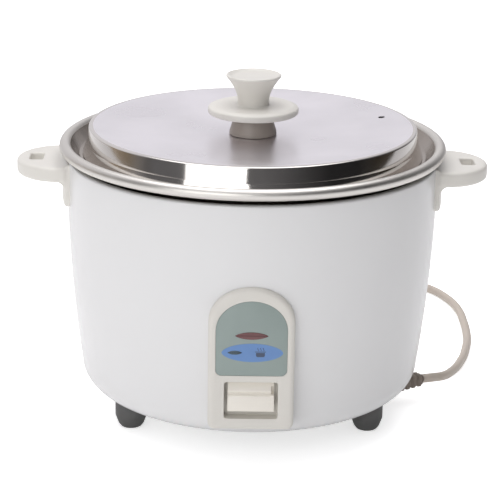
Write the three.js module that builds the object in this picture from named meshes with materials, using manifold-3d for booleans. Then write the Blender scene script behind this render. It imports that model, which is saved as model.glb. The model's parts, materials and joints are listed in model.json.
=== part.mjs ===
// A household rice cooker, millimetres, +Z up. The origin is on the table, on the axis of the case.
// The switch panel faces -Y and the carrying handles stand out along X.
import * as THREE from 'three';
import { mergeVertices } from 'three/addons/utils/BufferGeometryUtils.js';
import Module from 'manifold-3d';

const wasm = await Module();
wasm.setup();

// ---------------------------------------------------------------- driving dimensions
const GAP = 0.3; // clearance between pieces that touch
const SHELL_SIDES = 32; // flats round the large turned pieces
const SMALL_SIDES = 16; // flats round the small turned pieces

// Steel case
const CASE_R = 137.2; // middle of the sheet, at the top of the wall
const CASE_H = 177.4; // from the floor of the case to its rolled top edge
const CASE_SHEET = 1;
const CASE_TAPER = 10.1; // how much narrower the wall is just above the bottom corner
const CORNER_R = 23.3; // bottom corner, along the floor
const CORNER_H = 20.4; // bottom corner, up the wall
const CASE_OPENING_R = 86; // hole in the floor that the base plate closes
const FOOT_H = 24.3; // the floor of the case stands this high over the table

// Pan and lid
const PAN_SHEET = 1.6;
const PAN_SLACK = 17.8; // between the case wall and the pan wall, at the top
const PAN_CORNER = 20;
const RIM_OVERHANG = 5; // how far the middle of the rolled rim stands over the case wall
const RIM_W = 8.5; // width of the rolled rim
const RIM_H = 8.4;
const RIM_LIFT = 3.9; // shadow gap between the rim and the case
const LEDGE_W = 8; // seat for the lid, inside the rim
const LID_SHEET = 1;
const LID_DISH = 7; // the middle of the lid is this much lower than its crown
const LID_SKIRT_H = 11.4;
const LID_FLANGE_H = 9;
const VENT_R = 2.5;

// Knob
const KNOB_R = 20.5;
const KNOB_NECK_R = 11.6;
const KNOB_H = 23.4;
const DISC_R = 33.5;
const DISC_H = 6.4;
const SEAT_R = 17.6;
const SEAT_H = 15;
const KNOB_SCREW_R = 2.1;

// Carrying handles
const HANDLE_REACH = 37.8; // tip beyond the case wall
const HANDLE_W = 70;
const HANDLE_T = 11.2;
const HANDLE_DROP = 3.4; // top face below the top of the case
const PLATE_T = 3.4; // mounting plate against the case
const PLATE_DROP = 34.4; // lower end of that plate below the top of the case
const SLOT_W = 9.8; // finger slot, out from the case
const SLOT_L = 18.4;

// Switch panel
const PANEL_W = 60.4;
const PANEL_H = 105.4;
const PANEL_ARCH = 26.6; // height of the arched part
const PANEL_Z = 14; // lower edge over the floor of the case
const PANEL_PROUD = 2.3; // front face in front of the case wall
const PANEL_WALL = 2.5;
const LABEL_W = 50.4;
const LABEL_H = 55.2;
const LABEL_ARCH = 21.5;
const LABEL_Z = 40.7; // lower edge over the panel's lower edge
const LABEL_T = 1;
const POCKET_W = 37.8; // recess round the lever
const POCKET_H = 27.5;
const POCKET_D = 8.5;
const POCKET_Z = 8.7; // lower edge over the panel's lower edge
const LEVER_W = 32.6;
const LEVER_H = 20.8;

// Heater and switch works
const HEATER_R = 96;
const HEATER_T = 8;
const HEATER_Z = 39.7; // its top rim over the floor of the case
const HEATER_DOME = 1;
const SHIELD_SHEET = 1;
const SHIELD_SLACK = 12; // between the case wall and the shield wall
const SHIELD_FLOOR_Z = 24.2; // over the floor of the case
const SENSOR_R = 16.5;
const SENSOR_TRAVEL = 3;
const SLEEVE_R = 14.6;
const SLEEVE_BORE_R = 12.8;
const MAGNET_R = 12;
const PIVOT_Y = -62; // lever pivot, towards the panel
const PIVOT_R = 1.5;
const ARM_W = 14;
const ARM_T = 2;

// Power cord: 7 mm, laid on the table, with the spare length in a coil behind the case
const CORD_D = 7;
const COIL_X = 85;
const COIL_Y = 255;
const COIL_OUTER_R = 49;
const COIL_INNER_R = 31.5;
const COIL_H = 14;
const GLAND_END = [134.5, 17.5];
const GLAND_START = [106, 4.2];
const CORD_POINTS = [
  [134.9, 17.7, 17.5], [143.4, 22, 16.9], [152.9, 30.5, 15], [161.8, 48.2, 12.1], [167.8, 64.5, 10],
  [172.8, 82, 8], [177.2, 99, 6.5], [180.6, 116, 5.3], [184.6, 140, 4.2], [186.6, 165, 3.7],
  [187, 190, 3.6], [185.6, 222, 3.6], [178.5, 252, 3.6], [165.5, 277.5, 3.6], [146.5, 294.5, 3.6],
  [124, 303.5, 3.6], [100, 305.6, 3.6],
];
const PLUG_X = 24; // where the cord enters the plug
const PLUG_Y = 300.5;
const PLUG_L = 47;
const PLUG_W = 50;
const PLUG_T = 20;

// ---------------------------------------------------------------- places worked out from them
const floorZ = FOOT_H;
const topZ = FOOT_H + CASE_H;
const heaterZ = floorZ + HEATER_Z;
const shieldFloorZ = floorZ + SHIELD_FLOOR_Z;
const shieldR = CASE_R - SHIELD_SLACK;
const panR = CASE_R - PAN_SLACK;
const rimR = CASE_R + RIM_OVERHANG + PAN_SHEET / 2;
const rimZ = topZ + RIM_LIFT + RIM_H / 2;
const ledgeZ = topZ + 0.7;
const ledgeR = panR + LEDGE_W;
const lidR = ledgeR - 4 - LID_SHEET;
const lidEdgeZ = ledgeZ + PAN_SHEET / 2 + GAP;
const crownZ = lidEdgeZ + LID_FLANGE_H + LID_SKIRT_H;
const lidSeatZ = crownZ - LID_DISH + LID_SHEET / 2;
const discZ = lidSeatZ + SEAT_H + 2 * GAP;
const knobZ = discZ + DISC_H;
const frontY = -(CASE_R + PANEL_PROUD);
const panelZ = floorZ + PANEL_Z;
const labelZ = panelZ + LABEL_Z;
const pocketZ = panelZ + POCKET_Z;
const leverZ = pocketZ + POCKET_H - LEVER_H - 1;
const handleZ = topZ - HANDLE_DROP;
const bracketZ = shieldFloorZ - 4.8;
const armZ = floorZ + 10.7; // top face of the lever's arm
const baseZ = floorZ + CASE_SHEET + GAP;
const baseTopZ = baseZ + 1.2;
const basePlateR = CASE_R - CORNER_R - 10.7;
const footRing = basePlateR - 6; // the feet stand on this circle
const footAngles = [90, 204, 336].map((angle) => THREE.MathUtils.degToRad(angle));
const pivotZ = armZ - 4;

// ---------------------------------------------------------------- shape helpers
/** Turns a geometry's faces outwards, if they point in. */
function outward(geometry) {
  const flat = geometry.index ? geometry.toNonIndexed() : geometry;
  const place = flat.attributes.position;
  const corner = [0, 1, 2].map(() => new THREE.Vector3());
  let volume = 0;
  for (let i = 0; i < place.count; i += 3) {
    corner.forEach((point, k) => point.fromBufferAttribute(place, i + k));
    volume += corner[0].dot(corner[1].clone().cross(corner[2]));
  }
  if (volume < 0) {
    const values = place.array;
    for (let i = 0; i < values.length; i += 9) {
      for (let k = 0; k < 3; k += 1) {
        [values[i + 3 + k], values[i + 6 + k]] = [values[i + 6 + k], values[i + 3 + k]];
      }
    }
  }
  const result = new THREE.BufferGeometry();
  result.setAttribute('position', place);
  return result;
}

/** A closed mesh as a solid that can be joined and cut. */
function solid(geometry) {
  const bare = geometry.clone();
  bare.deleteAttribute('normal');
  bare.deleteAttribute('uv');
  const merged = mergeVertices(bare, 1e-4);
  const index = merged.index.array;
  const kept = [];
  for (let i = 0; i < index.length; i += 3) {
    const [a, b, c] = [index[i], index[i + 1], index[i + 2]];
    if (a !== b && b !== c && c !== a) kept.push(a, b, c);
  }
  const mesh = new wasm.Mesh({
    numProp: 3,
    vertProperties: merged.attributes.position.array,
    triVerts: Uint32Array.from(kept),
  });
  return new wasm.Manifold(mesh);
}

/** A solid as a geometry for a mesh. */
function surface(body) {
  const mesh = body.getMesh();
  const geometry = new THREE.BufferGeometry();
  geometry.setAttribute('position', new THREE.BufferAttribute(mesh.vertProperties, 3));
  geometry.setIndex(new THREE.BufferAttribute(mesh.triVerts, 1));
  return geometry;
}

/** A line of (r, z) points moved sideways, to its right, which is outwards on a rising wall. */
function offsetLine(line, distance) {
  return line.map((point, i) => {
    const before = line[Math.max(i - 1, 0)];
    const after = line[Math.min(i + 1, line.length - 1)];
    const normals = [[before, point], [point, after]]
      .map(([a, b]) => [b[1] - a[1], a[0] - b[0]])
      .filter(([r, z]) => Math.hypot(r, z) > 0)
      .map(([r, z]) => [r / Math.hypot(r, z), z / Math.hypot(r, z)]);
    const sum = [0, 1].map((k) => normals.reduce((total, n) => total + n[k], 0));
    const size = Math.hypot(...sum);
    const miter = sum.map((value) => value / size);
    const reach = distance / (miter[0] * normals[0][0] + miter[1] * normals[0][1]);
    const onAxis = point[0] === 0;
    return [onAxis ? 0 : point[0] + miter[0] * reach, point[1] + miter[1] * reach];
  });
}

/** The closed outline of a bent sheet, from the line along its middle. */
function sheet(line, thickness) {
  const outside = offsetLine(line, thickness / 2);
  const inside = offsetLine(line, -thickness / 2).reverse();
  const outline = [...outside, ...inside];
  return line[0][0] > 0 ? [...outline, outside[0]] : outline;
}

/** A turned piece from an outline of (r, z) points. */
function turned(outline, sides = SMALL_SIDES) {
  const points = outline.map(([r, z]) => new THREE.Vector2(r, z));
  return outward(new THREE.LatheGeometry(points, sides).rotateX(Math.PI / 2));
}

/** A round bar along one axis. */
function bar(radius, length, centre, axis = 'z', sides = SMALL_SIDES) {
  const shape = new THREE.CylinderGeometry(radius, radius, length, sides);
  if (axis === 'z') shape.rotateX(Math.PI / 2);
  if (axis === 'x') shape.rotateZ(Math.PI / 2);
  return shape.translate(...centre);
}

/** A block between two corners. */
function block(low, high) {
  const size = high.map((value, k) => value - low[k]);
  const middle = high.map((value, k) => (value + low[k]) / 2);
  return new THREE.BoxGeometry(...size).translate(...middle);
}

/** A flat outline in (x, z), from the plane y = back out to y = front. */
function frontal(shape, back, front) {
  const depth = back - front;
  const body = new THREE.ExtrudeGeometry(shape, { depth, bevelEnabled: false, curveSegments: 7 });
  return outward(body.rotateX(Math.PI / 2).translate(0, back, 0));
}

/** A flat outline in (y, z), from x = left to x = right. */
function sideways(points, left, right) {
  const shape = new THREE.Shape(points.map(([y, z]) => new THREE.Vector2(y, z)));
  const body = new THREE.ExtrudeGeometry(shape, { depth: right - left, bevelEnabled: false });
  const turn = new THREE.Matrix4().makeBasis(
    new THREE.Vector3(0, 1, 0), new THREE.Vector3(0, 0, 1), new THREE.Vector3(1, 0, 0));
  return outward(body.applyMatrix4(turn).translate(left, 0, 0));
}

/** An arched outline with rounded lower corners, in (x, z). */
function arch(width, height, rise, corner, low) {
  const half = width / 2;
  const shape = new THREE.Shape();
  shape.moveTo(-half + corner, low);
  shape.lineTo(half - corner, low);
  shape.absarc(half - corner, low + corner, corner, -Math.PI / 2, 0, false);
  shape.lineTo(half, low + height - rise);
  shape.absellipse(0, low + height - rise, half, rise, 0, Math.PI, false);
  shape.lineTo(-half, low + corner);
  shape.absarc(-half + corner, low + corner, corner, Math.PI, Math.PI * 1.5, false);
  return shape;
}

/** An eye-shaped outline in (x, z). */
function eye(width, height, x, z) {
  const shape = new THREE.Shape();
  shape.moveTo(x - width / 2, z);
  shape.quadraticCurveTo(x, z - height, x + width / 2, z);
  shape.quadraticCurveTo(x, z + height, x - width / 2, z);
  return shape;
}

/** A round tube along a smooth curve through points. */
function tube(curve, diameter, sides, steps) {
  const section = new THREE.Shape();
  for (let i = 0; i < sides; i += 1) {
    const angle = (i / sides) * Math.PI * 2;
    const point = [Math.cos(angle) * diameter / 2, Math.sin(angle) * diameter / 2];
    if (i === 0) section.moveTo(...point);
    else section.lineTo(...point);
  }
  section.closePath();
  return outward(new THREE.ExtrudeGeometry(section, { steps, extrudePath: curve }));
}

/** A smooth curve through points. */
function through(points) {
  return new THREE.CatmullRomCurve3(points.map((point) => new THREE.Vector3(...point)));
}

/** The centre line of a coil spring round the z axis. */
class Helix extends THREE.Curve {
  constructor(radius, low, high, turns) {
    super();
    Object.assign(this, { radius, low, high, turns });
  }

  getPoint(t, target = new THREE.Vector3()) {
    const angle = t * this.turns * Math.PI * 2;
    const height = this.low + t * (this.high - this.low);
    return target.set(Math.cos(angle) * this.radius, Math.sin(angle) * this.radius, height);
  }
}

/** A coil spring standing between two heights. */
function spring(radius, wire, low, high, turns) {
  const helix = new Helix(radius, low + wire / 2, high - wire / 2, turns);
  return tube(helix, wire, 5, turns * 10);
}

/** A screw pointing up, with its head below: the head's underside is at z = 0. */
function screw(radius, length, headR, headH) {
  return turned([[0, 0], [headR, 0], [headR, headH], [radius, headH], [radius, length], [0, length]], 12);
}

// ---------------------------------------------------------------- materials
/** A plain finish. */
function finish(color, roughness, metalness = 0) {
  return new THREE.MeshStandardMaterial({ color, roughness, metalness });
}
const enamel = finish(0xe4e4e4, 0.35);
const ivory = finish(0xdedbd3, 0.45);
const cream = finish(0xe9e5da, 0.45);
const stainless = finish(0xd7d3d2, 0.12, 1);
const aluminium = finish(0xc9c5be, 0.35, 1);
const zinc = finish(0xa9abab, 0.4, 1);
const steel = finish(0x9a9a98, 0.35, 1);
const iron = finish(0x4c4b4b, 0.6, 1);
const greyRubber = finish(0x5f5f5f, 0.7);
const cordSkin = finish(0xc3b9af, 0.5);
const glandRubber = finish(0x7b7067, 0.6);
const greyFoil = finish(0x919e9b, 0.4);
const redLens = finish(0x6e4b4b, 0.2);
const darkLens = finish(0x465a64, 0.2);
const ceramic = finish(0xe8e4dc, 0.6);
const bakelite = finish(0x3a332f, 0.5);
const glass = finish(0xf0a070, 0.1);

// ---------------------------------------------------------------- the model
const cooker = new THREE.Group();

/** Adds one named piece. */
function piece(name, geometry, material, parent = cooker) {
  const mesh = new THREE.Mesh(geometry, material);
  mesh.name = name;
  parent.add(mesh);
  return mesh;
}

// The case wall narrows towards the bottom along a parabola.
const cornerTopZ = floorZ + CASE_SHEET / 2 + CORNER_H;
const rollZ = topZ - CASE_SHEET / 2;
const wallTopZ = rollZ - 4;
const lipR = CASE_R - 6.2;
const wallSteps = 4;
function wallR(z) {
  const up = THREE.MathUtils.clamp((z - cornerTopZ) / (wallTopZ - cornerTopZ), 0, 1);
  return CASE_R - CASE_TAPER * (1 - up) ** 2;
}

/** The middle line of the case sheet, from the hole in its floor to its rolled lip. */
function caseLine() {
  const line = [[CASE_OPENING_R, floorZ + CASE_SHEET / 2]];
  const cornerStartR = CASE_R - CASE_TAPER - CORNER_R;
  for (let i = 0; i <= 4; i += 1) {
    const turn = (i / 4) * Math.PI / 2;
    const r = cornerStartR + CORNER_R * Math.sin(turn);
    line.push([r, cornerTopZ - CORNER_H * Math.cos(turn)]);
  }
  for (let i = 1; i <= wallSteps; i += 1) {
    const z = cornerTopZ + (i / wallSteps) * (wallTopZ - cornerTopZ);
    line.push([wallR(z), z]);
  }
  line.push([CASE_R - 0.6, rollZ - 1.2], [CASE_R - 2, rollZ], [lipR + 1.2, rollZ]);
  line.push([lipR, rollZ - 1.5], [lipR, rollZ - 9.5]);
  return line;
}

/** Everything inside the case's outer surface, grown by a clearance, to cut neighbours with. */
function caseBlank(clearance) {
  const outside = offsetLine(caseLine(), CASE_SHEET / 2 + clearance);
  const low = floorZ - clearance;
  return solid(turned([[0, low], ...outside, [0, outside.at(-1)[1]]], SHELL_SIDES));
}

/** The hollow inside the case, shrunk by a clearance, to trim what is inside it. */
function caseHollow(clearance) {
  const inside = offsetLine(caseLine(), -CASE_SHEET / 2 - clearance).slice(1, 6 + wallSteps);
  const low = inside[0][1];
  return solid(turned([[0, low], ...inside, [0, inside.at(-1)[1]]], SHELL_SIDES));
}

const stubHalfW = 6;
const stubZ = leverZ + 5.6; // underside of the lever's stub
const lensWindow = block([-19, -CASE_R - 5, labelZ + 11], [15, -CASE_R + 20, labelZ + 36]);
const handleScrewZ = topZ - 19.4;

function makeCase() {
  let body = solid(turned(sheet(caseLine(), CASE_SHEET), SHELL_SIDES));
  const leverWindow = block([-10, -CASE_R - 5, stubZ - 9], [10, -CASE_R + 25, stubZ + 13]);
  body = body.subtract(solid(leverWindow)).subtract(solid(lensWindow));
  for (const side of [-1, 1]) {
    body = body.subtract(solid(bar(2.1, 30, [side * CASE_R, 0, handleScrewZ], 'x', 12)));
  }
  for (const angle of footAngles) {
    const centre = [Math.cos(angle) * footRing, Math.sin(angle) * footRing, floorZ];
    body = body.subtract(solid(bar(2.1, 10, centre, 'z', 12)));
  }
  piece('outer_case', surface(body), enamel);
}

function makeShield() {
  const line = [
    [24, shieldFloorZ], [HEATER_R + 4, shieldFloorZ], [HEATER_R + 14, shieldFloorZ + 4.5],
    [shieldR - 5.2, shieldFloorZ + 17.5], [shieldR - 1.7, shieldFloorZ + 34], [shieldR, topZ - 16],
    [shieldR + 1.3, topZ - 13.6], [shieldR + 8.3, topZ - 12.6],
  ];
  let body = solid(turned(sheet(line, SHIELD_SHEET), SHELL_SIDES));
  const window = block([-17, 54, shieldFloorZ - 3], [17, 70, shieldFloorZ + 3]);
  body = body.subtract(solid(window));
  for (const angle of heaterScrewAngles) {
    const centre = [Math.cos(angle) * heaterScrewRing, Math.sin(angle) * heaterScrewRing, shieldFloorZ];
    body = body.subtract(solid(bar(2.6, 6, centre, 'z', 12)));
  }
  piece('inner_shield', surface(body), zinc);
  const band = turned([
    [shieldR + GAP + 0.7, topZ - 110], [shieldR + 2.4, topZ - 110], [shieldR + 2.4, topZ - 70],
    [shieldR + GAP + 0.7, topZ - 70], [shieldR + GAP + 0.7, topZ - 110]], SHELL_SIDES);
  const arc = solid(band).intersect(solid(block([-92, 20, 0], [92, 2 * CASE_R, topZ])));
  piece('keep_warm_heater', surface(arc), ceramic);
}

function makeBase() {
  let plate = solid(bar(basePlateR, baseTopZ - baseZ, [0, 0, (baseZ + baseTopZ) / 2], 'z', SHELL_SIDES));
  const vents = 8;
  for (let i = 0; i < vents; i += 1) {
    const slot = block([48, -3, baseZ - 5], [72, 3, baseTopZ + 5]);
    plate = plate.subtract(solid(slot.rotateZ(((i + 0.5) / vents) * Math.PI * 2)));
  }
  const footCut = caseBlank(GAP);
  const names = ['rear', 'front_left', 'front_right'];
  names.forEach((name, i) => {
    const angle = footAngles[i];
    const place = [Math.cos(angle) * footRing, Math.sin(angle) * footRing, 0];
    const shape = turned([
      [4.2, 0], [7.6, 0], [9.6, 2], [11.9, 9], [11.9, floorZ + 6],
      [2.1, floorZ + 6], [2.1, 8], [4.2, 8], [4.2, 0]]).translate(...place);
    piece(`foot_${name}`, surface(solid(shape).subtract(footCut)), greyRubber);
    const fastener = screw(1.8, baseTopZ - 0.4, 3.8, 2.4).translate(place[0], place[1], 5.3);
    piece(`foot_screw_${name}`, fastener, steel);
    plate = plate.subtract(solid(bar(2.1, 10, [place[0], place[1], baseZ], 'z', 12)));
  });
  piece('base_plate', surface(plate), zinc);
}

function makeHandles() {
  const outerR = CASE_R + CASE_SHEET / 2 + GAP + PLATE_T;
  const low = topZ - PLATE_DROP;
  const under = handleZ - HANDLE_T;
  const ring = turned([
    [CASE_R - 4, low + 2.5], [outerR - 3, low], [outerR - 0.8, low + 1.6], [outerR, low + 5],
    [outerR, under - 7], [outerR + 0.8, under - 3.6], [outerR + 2.8, under - 1], [outerR + 6, under + 0.4],
    [outerR + 6, handleZ - 0.2], [outerR + 1.5, handleZ + 0.8], [outerR - 2, handleZ + 2.6],
    [CASE_R - 4, handleZ + 2.6], [CASE_R - 4, low + 2.5]], 64);
  const half = HANDLE_W / 2;
  const side = half - 1.5;
  const corner = 9; // rounding of the plate's lower corners
  const plate = [[side, topZ + 20], [-side, topZ + 20]];
  for (const way of [-1, 1]) {
    for (let i = 0; i <= 4; i += 1) {
      const turn = ((way < 0 ? i : 4 - i) / 4) * Math.PI / 2;
      const y = way * (side - corner + corner * Math.cos(turn));
      plate.push([y, low + corner - corner * Math.sin(turn)]);
    }
  }
  const wedge = sideways(plate, CASE_R - 20, CASE_R + 60);
  const tip = CASE_R + HANDLE_REACH;
  const round = 2; // rounding of the lug's edges
  const root = CASE_R + 5; // the lug's curved outline starts here
  const plan = new THREE.Shape();
  plan.moveTo(CASE_R - 2, -half + round);
  plan.lineTo(root, -half + round);
  plan.absellipse(root, 0, tip - round - root, half - round, -Math.PI / 2, Math.PI / 2, false);
  plan.lineTo(CASE_R - 2, half - round);
  const depth = HANDLE_T - 2 * round;
  const lug = outward(new THREE.ExtrudeGeometry(plan, {
    depth, bevelEnabled: true, bevelThickness: round, bevelSize: round, bevelSegments: 2, curveSegments: 9,
  }).translate(0, 0, under + round));
  const slotX = tip - 9.9 - SLOT_W;
  const slot = block([slotX, -SLOT_L / 2, under - 5], [slotX + SLOT_W, SLOT_L / 2, handleZ + 5]);
  const screwHole = bar(2.1, outerR - 1.2 - (CASE_R - 5), [0, 0, 0], 'x', 12)
    .translate((outerR - 1.2 + CASE_R - 5) / 2, 0, handleScrewZ);
  const handle = solid(ring).intersect(solid(wedge)).add(solid(lug)).subtract(caseBlank(GAP))
    .subtract(solid(slot)).subtract(solid(screwHole));
  const names = { right: 0, left: Math.PI };
  for (const [name, angle] of Object.entries(names)) {
    piece(`handle_${name}`, surface(handle), ivory).rotation.z = angle;
    const headX = CASE_R - 4.6;
    const fastener = screw(1.8, outerR - 1.7 - headX, 4, 2.4).rotateY(Math.PI / 2);
    fastener.translate(headX, 0, handleScrewZ);
    piece(`handle_screw_${name}`, fastener, steel).rotation.z = angle;
  }
}

function makePan() {
  const out = GAP + PAN_SHEET / 2;
  const cornerR = panR - 1.6 - PAN_CORNER;
  const line = [[0, heaterZ + HEATER_DOME + out], [cornerR * 0.6, heaterZ + HEATER_DOME * 0.64 + out]];
  for (let i = 0; i <= 3; i += 1) {
    const turn = (i / 3) * Math.PI / 2;
    const z = heaterZ + out + 0.1 + PAN_CORNER * (1 - Math.cos(turn));
    line.push([cornerR + PAN_CORNER * Math.sin(turn), z]);
  }
  const bead = rimR - PAN_SHEET / 2 - RIM_W / 2 + PAN_SHEET / 2; // middle of the rolled rim
  const half = (RIM_W - PAN_SHEET) / 2;
  line.push([panR, ledgeZ - 5], [panR + 0.8, ledgeZ - 1.6], [panR + 2.6, ledgeZ], [ledgeR, ledgeZ]);
  const rise = (RIM_H - PAN_SHEET) / 2;
  line.push([ledgeR + 2, ledgeZ + 1.4], [bead - half - 1, rimZ - 1]);
  line.push([bead - half + 0.8, rimZ + rise - 0.8], [bead - 0.6, rimZ + rise], [bead + half - 1.2, rimZ + rise - 1.2]);
  line.push([bead + half, rimZ - 0.4], [bead + half - 0.6, rimZ - rise + 0.8], [bead + half - 2.2, rimZ - rise]);
  piece('inner_pan', turned(sheet(line, PAN_SHEET), SHELL_SIDES), aluminium);
}

function makeLid() {
  const middle = crownZ - LID_DISH;
  const seatR = SEAT_R + 3;
  const crownR = lidR - 4.2;
  const dish = (r) => middle + LID_DISH * ((r - seatR) / (crownR - seatR)) ** 1.4;
  const line = [[KNOB_SCREW_R + 0.9, middle], [seatR, middle]];
  for (const share of [0.35, 0.7]) {
    const r = seatR + (crownR - seatR) * share;
    line.push([r, dish(r)]);
  }
  line.push([crownR, crownZ], [lidR - 1.7, crownZ - 0.5], [lidR - 1.2, crownZ - 3.5]);
  line.push([lidR + 0.4, lidEdgeZ + LID_FLANGE_H], [lidR + 3, lidEdgeZ + 0.6]);
  let body = solid(turned(sheet(line, LID_SHEET), SHELL_SIDES));
  const ventR = lidR - 19.3;
  const ventAngle = THREE.MathUtils.degToRad(19);
  const vent = [Math.cos(ventAngle) * ventR, Math.sin(ventAngle) * ventR, crownZ];
  body = body.subtract(solid(bar(VENT_R, 20, vent, 'z', 12)));
  piece('lid', surface(body), stainless);

  const bore = KNOB_SCREW_R + GAP;
  const top = knobZ + KNOB_H;
  const grip = KNOB_R - KNOB_NECK_R;
  piece('lid_knob', turned([
    [0, discZ + 18], [bore, discZ + 18], [bore, discZ], [DISC_R - 2.5, discZ], [DISC_R - 0.4, discZ + 1.3],
    [DISC_R, discZ + 3.4], [DISC_R - 0.5, discZ + 5.2], [DISC_R - 2, knobZ], [KNOB_NECK_R + 2, knobZ + 0.4],
    [KNOB_NECK_R, knobZ + 2.2], [KNOB_NECK_R + grip * 0.12, knobZ + KNOB_H * 0.33],
    [KNOB_NECK_R + grip * 0.35, knobZ + KNOB_H * 0.58], [KNOB_NECK_R + grip * 0.72, knobZ + KNOB_H * 0.82],
    [KNOB_R, top - 1.3], [KNOB_R - 0.2, top - 0.3], [KNOB_R - 1.6, top], [KNOB_R - 5, top - 0.9],
    [0, top - 1.4]], 24), ivory);
  piece('knob_seat', turned([
    [bore, lidSeatZ + GAP], [SEAT_R, lidSeatZ + GAP], [SEAT_R - 0.4, lidSeatZ + 3], [SEAT_R - 3.2, discZ - 3],
    [SEAT_R - 4, discZ - GAP], [bore, discZ - GAP], [bore, lidSeatZ + GAP]], 24), glandRubber);
  const underLid = lidSeatZ - LID_SHEET - GAP;
  piece('knob_washer', turned([
    [bore, underLid - 1], [8, underLid - 1], [8, underLid], [bore, underLid], [bore, underLid - 1]]), steel);
  const headH = 2.3;
  const screwLength = discZ + 16 - (underLid - 1 - GAP - headH);
  const knobScrew = screw(KNOB_SCREW_R, screwLength, 4.5, headH);
  piece('knob_screw', knobScrew.translate(0, 0, underLid - 1 - GAP - headH), steel);
}

const labelCut = 1.3;
const lenses = [
  { name: 'keep_warm', width: 23, height: 5.5, x: 0, z: 29.8, material: redLens },
  { name: 'cook', width: 10, height: 2.9, x: -11.6, z: 17.4, material: darkLens },
];

function makePanel() {
  const back = -(CASE_R - 22);
  const inside = frontY + PANEL_WALL;
  let cover = solid(frontal(arch(PANEL_W, PANEL_H, PANEL_ARCH, 5, panelZ), back, frontY));
  const cavity = arch(PANEL_W - 2 * PANEL_WALL, PANEL_H - 2 * PANEL_WALL, PANEL_ARCH - PANEL_WALL, 3,
    panelZ + PANEL_WALL);
  cover = cover.subtract(solid(frontal(cavity, back + 1, inside)));
  const half = POCKET_W / 2;
  const pocketBack = frontY + POCKET_D;
  const wall = 1.8;
  cover = cover.add(solid(block([-half - wall, frontY + 1, pocketZ - wall],
    [half + wall, pocketBack + wall, pocketZ + POCKET_H + wall])));
  cover = cover.subtract(solid(block([-half, frontY - 1, pocketZ], [half, pocketBack, pocketZ + POCKET_H])));
  const stubSlot = block([-stubHalfW - 2, pocketBack - 1, stubZ - 5.5],
    [stubHalfW + 2, pocketBack + wall + 1, stubZ + 9]);
  cover = cover.subtract(solid(stubSlot)).subtract(caseBlank(GAP));
  const labelHole = arch(LABEL_W, LABEL_H, LABEL_ARCH, 4.3, labelZ);
  cover = cover.subtract(solid(frontal(labelHole, frontY + labelCut, frontY - 1)));
  const labelShape = arch(LABEL_W - 2 * GAP, LABEL_H - 2 * GAP, LABEL_ARCH - GAP, 4, labelZ + GAP);
  let label = solid(frontal(labelShape, frontY + LABEL_T, frontY));
  for (const lens of lenses) {
    const z = labelZ + lens.z;
    const hole = eye(lens.width + 3 * GAP, lens.height + 3 * GAP, lens.x, z);
    const window = solid(frontal(hole, inside + 1, frontY - 1));
    cover = cover.subtract(window);
    label = label.subtract(window);
    const glassShape = eye(lens.width, lens.height, lens.x, z);
    piece(`${lens.name}_lens`, frontal(glassShape, inside, frontY - 0.2), lens.material);
  }
  piece('switch_cover', surface(cover), ivory);
  piece('label_plate', surface(label), greyFoil);
}

function makeLamps() {
  const back = -(shieldR + SHIELD_SHEET / 2 + GAP);
  const front = frontY + 7.2;
  let holder = solid(block([-18, front, labelZ + 12], [14, back, labelZ + 35])).intersect(caseHollow(GAP));
  for (const lens of lenses) {
    const centre = [lens.x, frontY + 10.4, labelZ + lens.z];
    const lamp = bar(1.9, lens.width * 0.5 + 4, centre, 'x', 12);
    const pocket = block([lens.x - 9, front - 5, centre[2] - 2.4], [lens.x + 9, back - 0.9, centre[2] + 2.4]);
    if (lens.x - 9 > -18) holder = holder.subtract(solid(pocket));
    else holder = holder.subtract(solid(pocket.translate(-18 - (lens.x - 9) + 1.5, 0, 0)));
    piece(`${lens.name}_lamp`, lamp, glass);
  }
  piece('lamp_holder', surface(holder), ceramic);
}

// The pull of the lever: a paddle on the front end of a sheet-steel arm that rocks on a pin.
const paddleBack = frontY + POCKET_D - 0.6;
const armEndY = paddleBack + 8.7;

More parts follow.
